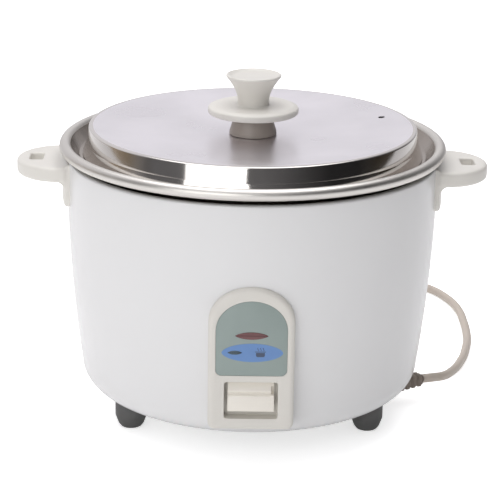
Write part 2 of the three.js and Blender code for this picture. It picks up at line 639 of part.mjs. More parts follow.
function makeLever() {
  const low = leverZ;
  const high = leverZ + LEVER_H;
  const pad = frontY - 1.6;
  const paddle = sideways([
    [paddleBack, low + 2], [paddleBack, high - 0.6], [paddleBack - 1, high], [frontY + 4.2, high],
    [frontY + 3, high - 0.8], [frontY + 0.6, low + 14.6], [frontY + 1, low + 13.8], [frontY + 2, low + 13],
    [frontY + 2, low + 12.6], [pad + 1, low + 12], [pad, low + 11], [pad - 0.3, low + 7], [pad + 0.2, low + 2],
    [pad + 1.2, low + 0.4], [pad + 2.4, low], [paddleBack - 1.5, low]], -LEVER_W / 2, LEVER_W / 2);
  const stub = block([-stubHalfW, paddleBack - 2, stubZ], [stubHalfW, armEndY - ARM_T / 2 - GAP, stubZ + 7]);
  piece('cook_lever', surface(solid(paddle).add(solid(stub))), cream);

  const half = ARM_T / 2;
  const armLine = [
    [3, armZ - half], [-CASE_R + 29, armZ - half], [armEndY, stubZ - 2], [armEndY, stubZ + 6]];
  const strip = sideways(offsetLine(armLine, half).concat(offsetLine(armLine, -half).reverse()),
    -ARM_W / 2, ARM_W / 2);
  let arm = solid(strip);
  for (const side of [-1, 1]) {
    const x = side * (ARM_W / 2 - 0.6);
    const ear = block([x - 0.6, PIVOT_Y - 3, pivotZ - 2.4], [x + 0.6, PIVOT_Y + 3, armZ - half]);
    arm = arm.add(solid(ear));
  }
  arm = arm.subtract(solid(bar(PIVOT_R + GAP, 40, [0, PIVOT_Y, pivotZ], 'x', 12)));
  piece('switch_arm', surface(arm), steel);
  piece('pivot_pin', bar(PIVOT_R, 28, [0, PIVOT_Y, pivotZ], 'x', 12), steel);

  const foot = baseTopZ + GAP;
  let bracket = solid(block([-14, PIVOT_Y - 7, foot], [14, PIVOT_Y + 7, foot + 1.1]));
  for (const side of [-1, 1]) {
    const x = side * 10.2;
    bracket = bracket.add(solid(block([x - 0.8, PIVOT_Y - 5, foot], [x + 0.8, PIVOT_Y + 5, pivotZ + 4])));
  }
  bracket = bracket.subtract(solid(bar(PIVOT_R + GAP, 40, [0, PIVOT_Y, pivotZ], 'x', 12)));
  piece('switch_bracket', surface(bracket), zinc);

  const springY = PIVOT_Y - 33;
  piece('lever_spring', spring(4, 0.9, foot, armZ - ARM_T - GAP, 3), steel).position.y = springY;

  const switchY = PIVOT_Y - 29;
  const switchTop = shieldFloorZ - SHIELD_SHEET / 2 - GAP;
  const housing = solid(block([-8, switchY - 11, armZ + 3], [8, switchY + 11, switchTop]));
  const buttonR = 1.5;
  const buttonHole = bar(buttonR + GAP, 6, [0, switchY, armZ + 5], 'z', 12);
  piece('micro_switch', surface(housing.subtract(solid(buttonHole))), bakelite);
  piece('switch_button', bar(buttonR, 6, [0, switchY, armZ + GAP + 3], 'z', 12), cream);
}

const heaterScrewRing = HEATER_R - 12;
const heaterScrewAngles = [3, 7, 11].map((sixth) => (sixth * Math.PI) / 6);
const ridgeR = 62; // middle of the ridge that holds the tubular element

function makeHeater() {
  const bore = SENSOR_R + 2.5;
  const under = heaterZ - HEATER_T;
  const ridgeZ = under - 3.5;
  let plate = solid(turned([
    [bore, heaterZ + HEATER_DOME], [HEATER_R * 0.62, heaterZ + HEATER_DOME * 0.62], [HEATER_R - 2, heaterZ],
    [HEATER_R, heaterZ - 1.5], [HEATER_R, under + 2], [HEATER_R - 2, under], [ridgeR + 8, under],
    [ridgeR + 5, ridgeZ], [ridgeR - 5, ridgeZ], [ridgeR - 8, under], [bore + 6, under], [bore + 5, under - 2],
    [bore, under - 2], [bore, heaterZ + HEATER_DOME]], SHELL_SIDES));
  const bossLow = shieldFloorZ + SHIELD_SHEET / 2 + GAP;
  heaterScrewAngles.forEach((angle, i) => {
    const place = [Math.cos(angle) * heaterScrewRing, Math.sin(angle) * heaterScrewRing];
    const bossHigh = under + 2;
    plate = plate.add(solid(bar(6, bossHigh - bossLow, [...place, (bossHigh + bossLow) / 2])));
    plate = plate.subtract(solid(bar(2.3, 16, [...place, bossLow], 'z', 12)));
    const headTop = shieldFloorZ - SHIELD_SHEET / 2 - GAP;
    const fastener = screw(2, bossLow + 7 - headTop + 3, 4, 3).translate(...place, headTop - 3);
    piece(`heater_screw_${i + 1}`, fastener, steel);
  });
  piece('heater_plate', surface(plate), aluminium);
  [-1, 1].forEach((side, i) => {
    const low = shieldFloorZ - 10;
    const high = ridgeZ - GAP;
    const pin = turned([
      [0, low], [1.2, low], [1.2, shieldFloorZ - 2], [3.2, shieldFloorZ - 2], [3.2, high], [0, high]], 12);
    piece(`heater_terminal_${i + 1}`, pin.translate(side * 9.7, ridgeR - 1, 0), ceramic);
  });
  const fuse = turned([[0, -13], [2.5, -12], [2.5, 12], [0, 13]], 12).rotateX(Math.PI / 2);
  piece('thermal_fuse', fuse.translate(-40, 0, bossLow + 2.5), steel);
}

function makeSensor() {
  const top = heaterZ + HEATER_DOME;
  const capWall = 1.2;
  const capH = 15;
  piece('sensor_cap', turned([
    [0, top - 1.5], [SENSOR_R - capWall, top - 1.5], [SENSOR_R - capWall, top - capH], [SENSOR_R, top - capH],
    [SENSOR_R, top - 1.2], [SENSOR_R - 1.2, top], [0, top]], 24), aluminium);
  piece('ferrite_disc', bar(11.5, 3.6, [0, 0, top - 1.5 - GAP - 1.8], 'z', 24), iron);
  const sleeveLow = bracketZ + 1 + GAP;
  const sleeveTop = top - 6;
  piece('sensor_sleeve', turned([
    [SLEEVE_BORE_R, sleeveLow], [SLEEVE_R, sleeveLow], [SLEEVE_R, sleeveTop], [SLEEVE_BORE_R, sleeveTop],
    [SLEEVE_BORE_R, sleeveLow]], 24), zinc);
  piece('sensor_spring', spring(SENSOR_R - 0.5, 1, sleeveLow, top - capH - GAP, 3), steel);
  const stemHole = bar(4, 12, [0, 0, bracketZ], 'z', 12);
  let strap = solid(block([-40, -16, bracketZ - 1], [40, 16, bracketZ + 1]));
  for (const side of [-1, 1]) {
    const x = side * 39;
    strap = strap.add(solid(block([x - 1, -16, bracketZ - 1],
      [x + 1, 16, shieldFloorZ - SHIELD_SHEET / 2 - GAP])));
  }
  piece('sensor_bracket', surface(strap.subtract(solid(stemHole))), zinc);
  const magnetLow = bracketZ + 2.4;
  piece('magnet', bar(MAGNET_R, 6, [0, 0, magnetLow + 3], 'z', 24), iron);
  const buttonLow = armZ + GAP;
  piece('magnet_stem', turned([
    [0, buttonLow], [4.5, buttonLow], [4.5, buttonLow + 2], [2.5, buttonLow + 2], [2.5, magnetLow - GAP],
    [0, magnetLow - GAP]], 16), steel);
}

function makeWiring() {
  const low = baseTopZ + GAP;
  const blockX = 66;
  const blockY = 28;
  piece('terminal_block', block([blockX, blockY, low], [blockX + 16, blockY + 26, low + 12]), bakelite);
  const post = [9.7, ridgeR - 1, shieldFloorZ - 10 - GAP];
  const start = [blockX - 2 * GAP, blockY + 20, low + 7];
  piece('wire_live', tube(through([
    start, [blockX - 8, blockY + 20, low + 7], [36, 57, low + 4], [18, 61, low + 4],
    [post[0] + 0.6, post[1], low + 6], [post[0], post[1], post[2] - 0.5]]), 2.6, 6, 14), greyFoil);
  const end = [8.6, PIVOT_Y - 26, armZ + 8];
  piece('wire_neutral', tube(through([
    [blockX - 2 * GAP, blockY + 6, low + 7], [blockX - 8, blockY + 6, low + 7], [44, 2, low + 4],
    [36, -34, low + 5], [30, -66, low + 8], [19, PIVOT_Y - 25, armZ + 8], end]), 2.6, 6, 18), greyFoil);
}

function makeCord() {
  const [startX, startY] = GLAND_START;
  const [endX, endY] = GLAND_END;
  const length = Math.hypot(endX - startX, endY - startY);
  const heading = Math.atan2(endY - startY, endX - startX);
  const glandZ = CORD_POINTS[0][2];
  const ribs = [];
  const halfTop = floorZ - GAP - glandZ;
  for (let i = 0; i < 5; i += 1) {
    const share = i / 5;
    const at = share * (length - 3);
    const half = 6.6 - share * 0.7;
    ribs.push(block([at, -half, -6], [at + 3.6, half, halfTop]));
  }
  let gland = solid(block([0, -5, -5], [length - 1, 5, halfTop - 0.6]));
  for (const rib of ribs) gland = gland.add(solid(rib));
  gland = gland.add(solid(bar(4.6, 6, [length - 3, 0, 0], 'x', 16)));
  gland = gland.rotate([0, 0, THREE.MathUtils.radToDeg(heading)]).translate([startX, startY, glandZ]);
  piece('cord_gland', surface(gland.subtract(caseBlank(GAP))), glandRubber);
  piece('power_cord', tube(through(CORD_POINTS), CORD_D, 8, 26), cordSkin);
  const rounding = 2.5;
  const ring = turned([
    [COIL_INNER_R + rounding, 0], [COIL_OUTER_R - rounding, 0], [COIL_OUTER_R, rounding],
    [COIL_OUTER_R, COIL_H - rounding], [COIL_OUTER_R - rounding, COIL_H], [COIL_INNER_R + rounding, COIL_H],
    [COIL_INNER_R, COIL_H - rounding], [COIL_INNER_R, rounding], [COIL_INNER_R + rounding, 0]], 24);
  piece('power_cord_coil', ring.translate(COIL_X, COIL_Y, 0), cordSkin);
  const plugZ = PLUG_T / 2;
  const tail = through([[56, PLUG_Y, 9.8], [48, PLUG_Y, 9], [38, PLUG_Y, 9.2], [PLUG_X + 0.4, PLUG_Y, plugZ]]);
  piece('power_cord_tail', tube(tail, CORD_D, 8, 4), cordSkin);

  const halfW = PLUG_W / 2;
  const round = 2;
  const plan = new THREE.Shape();
  plan.moveTo(-round, -7);
  plan.lineTo(-14, -halfW + 4);
  plan.quadraticCurveTo(-18, -halfW + round, -24, -halfW + round);
  plan.lineTo(-PLUG_L + 7, -halfW + round);
  plan.quadraticCurveTo(-PLUG_L + round, -halfW + round, -PLUG_L + round, -halfW + 9);
  plan.lineTo(-PLUG_L + round, halfW - 9);
  plan.quadraticCurveTo(-PLUG_L + round, halfW - round, -PLUG_L + 7, halfW - round);
  plan.lineTo(-24, halfW - round);
  plan.quadraticCurveTo(-18, halfW - round, -14, halfW - 4);
  plan.lineTo(-round, 7);
  const body = outward(new THREE.ExtrudeGeometry(plan, {
    depth: PLUG_T - 2 * round, bevelEnabled: true, bevelThickness: round, bevelSize: round, bevelSegments: 2,
    curveSegments: 4,
  }).translate(PLUG_X, PLUG_Y, round));
  piece('plug_body', body, cordSkin);
  const pins = [
    { name: 'live', x: -14, y: -11.1, w: 4, l: 6.4, h: 17.7 },
    { name: 'neutral', x: -14, y: 11.1, w: 4, l: 6.4, h: 17.7 },
    { name: 'earth', x: -36.2, y: 0, w: 8, l: 4, h: 22.7 },
  ];
  for (const pin of pins) {
    const [x, y] = [PLUG_X + pin.x, PLUG_Y + pin.y];
    const shape = block([x - pin.w / 2, y - pin.l / 2, PLUG_T + GAP], [x + pin.w / 2, y + pin.l / 2, PLUG_T + pin.h]);
    piece(`plug_pin_${pin.name}`, shape, steel);
  }
}

makeCase();
makeShield();
makeBase();
makeHandles();
makePan();
makeLid();
makePanel();
makeLamps();
makeLever();
makeHeater();
makeSensor();
makeWiring();
makeCord();

export default cooker;
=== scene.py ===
# %% [markdown]
# # A white rice cooker
# This lesson dresses a finished engineering model. The model comes in as a fixed frame of small faceted
# solids that fit and move correctly. Each solid that can be seen gets a smooth piece of the same size in
# the same place, and every piece gets a finish that behaves like the real material.

# %% Load the frame
import json
import math

import bpy
from mathutils import Matrix, Vector


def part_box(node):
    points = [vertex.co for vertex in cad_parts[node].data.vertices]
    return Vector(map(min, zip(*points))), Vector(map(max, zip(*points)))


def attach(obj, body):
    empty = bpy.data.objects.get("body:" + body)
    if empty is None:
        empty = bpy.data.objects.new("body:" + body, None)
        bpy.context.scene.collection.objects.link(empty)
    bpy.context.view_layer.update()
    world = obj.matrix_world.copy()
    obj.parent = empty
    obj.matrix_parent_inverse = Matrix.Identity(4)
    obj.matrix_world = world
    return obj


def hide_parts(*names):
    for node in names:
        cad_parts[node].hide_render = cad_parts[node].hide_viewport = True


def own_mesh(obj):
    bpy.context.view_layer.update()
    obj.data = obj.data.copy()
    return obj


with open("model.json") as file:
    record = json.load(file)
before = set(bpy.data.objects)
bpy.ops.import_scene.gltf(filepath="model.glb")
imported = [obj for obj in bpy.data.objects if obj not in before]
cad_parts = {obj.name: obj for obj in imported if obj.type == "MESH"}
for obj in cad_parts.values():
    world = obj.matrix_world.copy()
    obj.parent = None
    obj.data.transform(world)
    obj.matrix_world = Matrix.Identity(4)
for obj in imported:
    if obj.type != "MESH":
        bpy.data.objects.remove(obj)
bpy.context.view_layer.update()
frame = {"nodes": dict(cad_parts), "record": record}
MM = 0.001
print("nodes:", len(frame["nodes"]))

# %% [markdown]
# The camera comes first, because the cord that follows may only spread a little way out of its view.
# A long lens from 1.5 m away keeps the round case from bulging. It looks down by 18 degrees, and it is
# turned by less than a degree about its own line of sight, as a hand-held camera often is.

# %% Camera
EYE = Vector((-0.0149, -1.4266, 0.5815))
AIM = Vector((-0.0008, 0, 0.1268))
ROLL = math.radians(0.9)

camera_data = bpy.data.cameras.new("camera")
camera_data.lens = 142.7
camera_data.sensor_width = 36
camera = bpy.data.objects.new("camera", camera_data)
bpy.context.scene.collection.objects.link(camera)
look = (AIM - EYE).to_track_quat("-Z", "Y").to_matrix().to_4x4()
camera.matrix_world = Matrix.Translation(EYE) @ look @ Matrix.Rotation(ROLL, 4, "Z")
bpy.context.scene.camera = camera
bpy.context.scene.view_settings.view_transform = "Standard"
print("camera is", round((AIM - EYE).length, 3), "m from its aim")

# %% [markdown]
# The mains cord is one flexible length, so it is one curve with a round section. It leaves the gland,
# sinks to the table, runs round behind the case and ends in a flat coil of two layers. The free stretch
# follows listed points. The coil's turns are worked out: inwards on the table, then up, then
# outwards on top of the first layer, with each turn one cord's width from the next.

# %% Cord
CORD_D = 7 * MM
CORD_POINTS = [
    (134.9, 17.7, 17.5), (143.4, 22, 16.9), (152.9, 30.5, 15), (161.8, 48.2, 12.1), (167.8, 64.5, 10),
    (172.8, 82, 8), (177.2, 99, 6.5), (180.6, 116, 5.3), (184.6, 140, 4.2), (186.6, 165, 3.7),
    (187, 190, 3.6), (185.6, 222, 3.6), (178.5, 252, 3.6), (165.5, 277.5, 3.6), (146.5, 294.5, 3.6),
    (124, 303.5, 3.6), (100, 305.6, 3.6),
]
COIL_X, COIL_Y = 85, 255
LOW_Z, HIGH_Z = 3.6, 10.6
OUTER_TURN, INNER_TURN = 45.5, 35
TAIL_POINTS = [(70, 300.5, 10.5), (56, 300.5, 9.9), (46, 300.5, 9.4), (36, 300.5, 9.5), (24.4, 300.5, 10)]


def ease(share):
    """0 to 1 with a gentle start and end."""
    share = min(max(share, 0), 1)
    return share * share * (3 - 2 * share)


def coil_points():
    """The coil's turns, from where the cord meets it to where it leaves on top."""
    points = []
    for angle in range(95, 1170, 15):
        settle = ease((angle - 74) / 76)
        low_turn = 52.8 + (OUTER_TURN - 52.8) * settle
        low_turn -= (OUTER_TURN - INNER_TURN) * max(angle - 150, 0) / 480
        high_turn = INNER_TURN + (OUTER_TURN - INNER_TURN) * max(angle - 690, 0) / 480
        radius = low_turn if angle < 630 else high_turn
        height = LOW_Z + (HIGH_Z - LOW_Z) * ease((angle - 630) / 60)
        turn = math.radians(angle)
        points.append((COIL_X + radius * math.cos(turn), COIL_Y + radius * math.sin(turn), height))
    points.append((COIL_X, COIL_Y + OUTER_TURN, HIGH_Z))
    return points


cord_line = CORD_POINTS + coil_points() + TAIL_POINTS
cord_curve = bpy.data.curves.new("mains_cord", "CURVE")
cord_curve.dimensions = "3D"
cord_curve.bevel_depth = 1  # the section is then as thick as each knot's own radius
cord_curve.bevel_resolution = 5
cord_curve.resolution_u = 6
spline = cord_curve.splines.new("BEZIER")
spline.bezier_points.add(len(cord_line) - 1)
for knot, place in zip(spline.bezier_points, cord_line):
    knot.co = Vector(place) * MM
    knot.radius = CORD_D / 2
    knot.handle_left_type = "AUTO"
    knot.handle_right_type = "AUTO"
cord = bpy.data.objects.new("mains_cord", cord_curve)
bpy.context.scene.collection.objects.link(cord)
straight = sum((Vector(b) - Vector(a)).length for a, b in zip(cord_line, cord_line[1:]))
print("cord along its points:", round(straight * MM, 3), "m")

# %% [markdown]
# Nearly every shell of this cooker was made by turning: a disc of metal is pressed over a form and comes
# out round. The same is done here. An outline is traced by pushing a point along, and the outline is spun
# about the upright axis. Corners are given a radius, as a press tool has, because a sharp corner catches
# no light.

# %% Helpers: outlines
ARC_STEP = math.radians(15)


def rounded(corners, closed=False):
    """A line of points through corners (across, up, radius), with an arc at each corner."""
    line = []
    count = len(corners)
    for i, (across, up, radius) in enumerate(corners):
        here = Vector((across, up))
        end = not closed and i in (0, count - 1)
        if end or radius == 0:
            line.append(here)
            continue
        back = (Vector(corners[i - 1][:2]) - here).normalized()
        ahead = (Vector(corners[(i + 1) % count][:2]) - here).normalized()
        half = back.angle(ahead) / 2
        centre = here + (back + ahead).normalized() * radius / math.sin(half)
        start = here + back * radius / math.tan(half) - centre
        swing = start.angle_signed(here + ahead * radius / math.tan(half) - centre)
        steps = max(2, math.ceil(abs(swing) / ARC_STEP))
        for k in range(steps + 1):
            angle = -swing * k / steps
            cos, sin = math.cos(angle), math.sin(angle)
            line.append(centre + Vector((start.x * cos - start.y * sin, start.x * sin + start.y * cos)))
    return [(point.x, point.y) for point in line]


def curve(start, end, bend, steps=8):
    """A line from start to end that leaves upright and sways out: bend is the power of the sway."""
    across = end[0] - start[0]
    up = end[1] - start[1]
    return [(start[0] + across * (k / steps) ** bend, start[1] + up * k / steps) for k in range(steps + 1)]


print(len(rounded([(0, 0, 1), (10, 0, 2), (10, 10, 2), (0, 10, 1)], closed=True)), "points in a rounded square")

# %% [markdown]
# The next helpers do with Blender's own editing operators what one would do by hand: trace, spin, fill,
# push, bevel and cut. Keeping them in one place means that each piece below is a few lines about its shape.

# %% Helpers: meshes
def deselect():
    bpy.ops.object.select_all(action="DESELECT")


def only(piece):
    """Selects one object and makes it active."""
    deselect()
    piece.select_set(True)
    bpy.context.view_layer.objects.active = piece


def trace(name, points):
    """Starts a mesh as one point and pushes it along a line of (x, y, z) points, in millimetres."""
    deselect()
    bpy.ops.mesh.primitive_plane_add(size=MM)
    piece = bpy.context.object
    piece.name = name
    piece.data.name = name
    bpy.ops.object.mode_set(mode="EDIT")
    bpy.ops.mesh.select_mode(type="VERT")
    bpy.ops.mesh.select_all(action="SELECT")
    bpy.ops.mesh.merge(type="CENTER")
    bpy.ops.transform.translate(value=Vector(points[0]) * MM)
    for before, after in zip(points, points[1:]):
        step = (Vector(after) - Vector(before)) * MM
        bpy.ops.mesh.extrude_region_move(TRANSFORM_OT_translate={"value": step})
    return piece


def close_outline():
    """Joins the ends of the traced line and fills it with one face."""
    bpy.ops.mesh.select_all(action="SELECT")
    bpy.ops.mesh.remove_doubles(threshold=1e-7)
    bpy.ops.mesh.select_all(action="SELECT")
    bpy.ops.mesh.edge_face_add()


def smooth(piece, angle=35):
    """Ends edit mode and smooths the shading across shallow edges."""
    bpy.ops.object.mode_set(mode="OBJECT")
    only(piece)
    bpy.ops.object.shade_smooth_by_angle(angle=math.radians(angle))
    return piece


def tidy():
    """Merges doubled points and turns all faces outwards."""
    bpy.ops.mesh.select_all(action="SELECT")
    bpy.ops.mesh.remove_doubles(threshold=2e-6)
    bpy.ops.mesh.select_all(action="SELECT")
    bpy.ops.mesh.normals_make_consistent(inside=False)


def turned(name, outline, steps=128, wall=0, place=(0, 0, 0)):
    """Spins an outline of (r, z) points about the upright axis. A wall thickness makes it a sheet."""
    piece = trace(name, [(r, 0, z) for r, z in outline])
    bpy.ops.mesh.select_all(action="SELECT")
    bpy.ops.mesh.spin(steps=steps, angle=2 * math.pi, center=(0, 0, 0), axis=(0, 0, 1))
    tidy()
    bpy.ops.mesh.select_all(action="SELECT")
    bpy.ops.transform.translate(value=Vector(place) * MM)
    smooth(piece)
    if wall:
        solid = piece.modifiers.new("wall", "SOLIDIFY")
        solid.thickness = wall * MM
        solid.offset = -1
        solid.use_even_offset = True
        apply(piece)
    return piece


def apply(piece):
    """Applies every modifier of a piece."""
    only(piece)
    for name in [m.name for m in piece.modifiers]:
        bpy.ops.object.modifier_apply(modifier=name)


def slab(name, outline, back, front, axis="Y"):
    """Fills a closed outline and pushes it from back to front along an axis."""
    if axis == "Y":
        points = [(x, back, z) for x, z in outline]
        push = (0, (front - back) * MM, 0)
    elif axis == "X":
        points = [(back, y, z) for y, z in outline]
        push = ((front - back) * MM, 0, 0)
    else:
        points = [(x, y, back) for x, y in outline]
        push = (0, 0, (front - back) * MM)
    piece = trace(name, points + points[:1])
    close_outline()
    bpy.ops.mesh.extrude_region_move(TRANSFORM_OT_translate={"value": push})
    tidy()
    bpy.ops.object.mode_set(mode="OBJECT")
    return piece


def round_edges(piece, width, wanted, segments=4):
    """Bevels the edges for which wanted(edge middle, edge direction) is true, in millimetres."""
    only(piece)
    bpy.ops.object.mode_set(mode="EDIT")
    bpy.ops.mesh.select_mode(type="EDGE")
    bpy.ops.mesh.select_all(action="DESELECT")
    bpy.ops.object.mode_set(mode="OBJECT")
    mesh = piece.data
    for edge in mesh.edges:
        a, b = (mesh.vertices[k].co / MM for k in edge.vertices)
        edge.select = wanted((a + b) / 2, (b - a).normalized())
    bpy.ops.object.mode_set(mode="EDIT")
    bpy.ops.mesh.bevel(offset=width * MM, segments=segments, affect="EDGES")
    bpy.ops.object.mode_set(mode="OBJECT")
    return piece


def combine(piece, other, operation):
    """Joins or cuts a piece with another, which is used up."""
    cut = piece.modifiers.new("cut", "BOOLEAN")
    cut.object = other
    cut.operation = operation
    cut.solver = "EXACT"
    apply(piece)
    bpy.data.objects.remove(other)
    return piece


def brick(low, high):
    """A block between two corners, for cutting."""
    deselect()
    bpy.ops.mesh.primitive_cube_add(size=1)
    block = bpy.context.object
    block.scale = [(b - a) * MM for a, b in zip(low, high)]
    block.location = [(a + b) / 2 * MM for a, b in zip(low, high)]
    bpy.ops.object.transform_apply()
    return block


def span(node):
    """A node's lowest and highest corner, in millimetres."""
    low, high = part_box(node)
    return Vector(low) / MM, Vector(high) / MM


def report(piece):
    corners = [Vector(c) / MM for c in piece.bound_box]
    low = [round(min(c[k] for c in corners), 1) for k in range(3)]
    high = [round(max(c[k] for c in corners), 1) for k in range(3)]
    print(piece.name, low, high, len(piece.data.polygons), "faces")


def stands_for(piece, *nodes, body="cooker", slot=None):
    """Puts a piece in place of CAD nodes, on their body."""
    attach(piece, body)
    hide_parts(*nodes)
    report(piece)


# %% [markdown]
# The case is one deep pressing in enamelled steel. Its wall leans out gently and evenly, which a parabola
# follows well, its lower corner is a quarter of an ellipse, and its top is rolled over and turned down.
# A traced outline with those three shapes keeps the reflections calm, where a few straight steps would
# show as bands.

# %% Case
case_low, case_high = span("outer_case")
CASE_R = case_high.x
FLOOR_Z = case_low.z
TOP_Z = case_high.z
TAPER = 10.1
CORNER_R, CORNER_H = 23.3, 20.4
WALL_LOW, WALL_HIGH = FLOOR_Z + CORNER_H, TOP_Z - 4.5


def wall_r(z):
    """The outside radius of the case wall at a height."""
    share = (z - WALL_LOW) / (WALL_HIGH - WALL_LOW)
    return CASE_R - TAPER * (1 - min(max(share, 0), 1)) ** 2


def case_outline(grow=0, opening=86):
    """The case's outer line from the floor to the top of the wall."""
    line = [(opening, FLOOR_Z - grow)]
    for k in range(13):
        turn = k / 12 * math.pi / 2
        r = CASE_R - TAPER - CORNER_R + (CORNER_R + grow) * math.sin(turn)
        line.append((r, WALL_LOW - (CORNER_H + grow) * math.cos(turn)))
    for k in range(1, 13):
        z = WALL_LOW + (WALL_HIGH - WALL_LOW) * k / 12
        line.append((wall_r(z) + grow, z))
    return line


rolled_top = rounded([(CASE_R, WALL_HIGH, 0), (CASE_R, TOP_Z, 1.8), (CASE_R - 5, TOP_Z, 1.2),
                      (CASE_R - 5, TOP_Z - 10, 0)])
case = turned("case_shell", case_outline() + rolled_top[1:], steps=160, wall=1)
lever_low, lever_high = span("cook_lever")
combine(case, brick((-10, -CASE_R - 5, lever_low.z - 3.4), (10, -CASE_R + 25, lever_high.z - 2)), "DIFFERENCE")
smooth(case)
stands_for(case, "outer_case", slot="case_enamel")

# %% [markdown]
# The pan is spun aluminium. What shows is its flange: a narrow ledge that the lid sits on, a funnel that
# leads drips back inside, and a round rolled bead that hangs over the case. The sheet is traced along its
# upper side and then thickened. Later the bead keeps its satin finish, while the funnel and the inside get a
# glossier finish whose darker colour is painted shade.

# %% Pan
pan_low, pan_high = span("inner_pan")
lid_low, lid_high = span("lid")
RIM_R, RIM_TOP = pan_high.x, pan_high.z
BEAD_W, BEAD_H = 8.5, 8.4
LEDGE_Z = lid_low.z - 0.3
PAN_R = 118.6
PAN_WALL = 1.4
bead_r, bead_z = RIM_R - BEAD_W / 2, RIM_TOP - BEAD_H / 2
bead = []
for k in range(25):
    turn = math.radians(168 - 238 * k / 24)
    bead.append((bead_r + BEAD_W / 2 * math.cos(turn), bead_z + BEAD_H / 2 * math.sin(turn)))
pan_floor = pan_low.z + 2.6
pan_line = rounded([(0, pan_floor, 0), (PAN_R - PAN_WALL, pan_floor, 20), (PAN_R, LEDGE_Z, 2.5),
                    (PAN_R + 9.6, LEDGE_Z, 1.6), bead[0] + (0,)])
pan = turned("pan", pan_line[:-1] + bead, steps=160, wall=PAN_WALL)
smooth(pan)
stands_for(pan, "inner_pan", body="pan", slot="pan_aluminium")

# %% [markdown]
# The lid is polished stainless steel. Its top is dished, so that it reflects one smooth tone, its edge
# turns down over a tight radius, and its skirt kicks out at the bottom into a flange that rests on the
# pan's ledge. A mirror shows every bump in an outline, so the dish is a smooth power curve. The skirt stays
# a mirror, and the dish is buffed, which spreads its reflection. The dish's colour is also painted lighter
# than the skirt's, as a painted highlight.

# %% Lid
LID_R = lid_high.x
CROWN_Z = lid_high.z
DISH = 7
crown_r = LID_R - 4.9
dish = []
for k in range(17):
    share = k / 16
    r = 3 + (crown_r - 10 - 3) * share
    dish.append((r, CROWN_Z - 0.4 - (DISH - 0.4) * (1 - share ** 2.2)))
skirt = rounded([dish[-1] + (0,), (crown_r - 3.4, CROWN_Z + 0.15, 10), (crown_r + 0.2, CROWN_Z, 1.3),
                 (LID_R - 2.9, lid_low.z + 9, 1.2), (LID_R, lid_low.z + 0.5, 0)])
lid = turned("lid_shell", dish + skirt[1:], steps=192, wall=0.9)
vent = math.radians(19)
vent_place = Vector((math.cos(vent), math.sin(vent), 0)) * (LID_R - 22.7)
deselect()
bpy.ops.mesh.primitive_cylinder_add(vertices=32, radius=2.5 * MM, depth=30 * MM,
                                    location=vent_place * MM + Vector((0, 0, CROWN_Z * MM)))
combine(lid, bpy.context.object, "DIFFERENCE")
smooth(lid)
stands_for(lid, "lid", body="lid", slot="lid_steel")

# %% [markdown]
# The knob is one moulding: a disc that keeps fingers off the hot steel, a neck, and a flared top with a
# shallow dish in it. It stands on a separate tapered seat.

# %% Knob and seat
knob_low, knob_high = span("lid_knob")
seat_low, seat_high = span("knob_seat")
DISC_R = knob_high.x
KNOB_R, NECK_R = 20.5, 11.6
disc_top = knob_low.z + 6.4
knob_top = knob_high.z
flare = curve((NECK_R, disc_top + 4), (KNOB_R - 0.5, knob_top - 2.2), 1.7, steps=14)
top_edge = rounded([flare[-1] + (0,), (KNOB_R + 0.15, knob_top - 1.2, 0.9),
                    (KNOB_R - 1.1, knob_top + 0.05, 1.1), (KNOB_R - 4.5, knob_top - 1.7, 4),
                    (0, knob_top - 2.2, 0)])
disc = rounded([(0, knob_low.z + 0.8, 0), (DISC_R - 5, knob_low.z + 0.8, 2), (DISC_R - 3, knob_low.z, 0.8),
                (DISC_R, knob_low.z + 0.5, 1.6), (DISC_R, knob_low.z + 5, 1.8),
                (DISC_R - 4, disc_top + 0.2, 3), (NECK_R, disc_top, 1.4), flare[0] + (0,)])
knob = turned("knob", disc[:-1] + flare + top_edge[1:], steps=128)
stands_for(knob, "lid_knob", body="lid", slot="ivory_plastic")
SEAT_R = seat_high.x
seat = turned("knob_foot", rounded([
    (0, seat_low.z, 0), (SEAT_R, seat_low.z, 0.5), (SEAT_R - 0.3, seat_low.z + 2.6, 1.5),
    (SEAT_R - 3.8, seat_high.z - 1.5, 1), (SEAT_R - 4, seat_high.z, 0.4), (0, seat_high.z, 0)]), steps=96)
stands_for(seat, "knob_seat", body="lid", slot="seat_plastic")

# %% [markdown]
# Each handle is one thick moulding: a flat lug with a finger slot, and a curved plate that lies against
# the case and takes the screws. The plate is a slice of a turned ring and the lug is half an ellipse. They
# are made apart, joined, and remeshed into one even skin, which a few rounds of smoothing then soften as a
# mould softens every corner. The second handle is the first one turned half way round.

# %% Handles
handle_low, handle_high = span("handle_right")
LUG_TOP = TOP_Z - 3.4
LUG_T = 11.2
LUG_HALF = 35
PLATE_T = 3.5
SLOT_X0, SLOT_X1, SLOT_HALF = 155.3, 165.1, 9.2
plate_r = CASE_R + PLATE_T
tip_x = handle_high.x


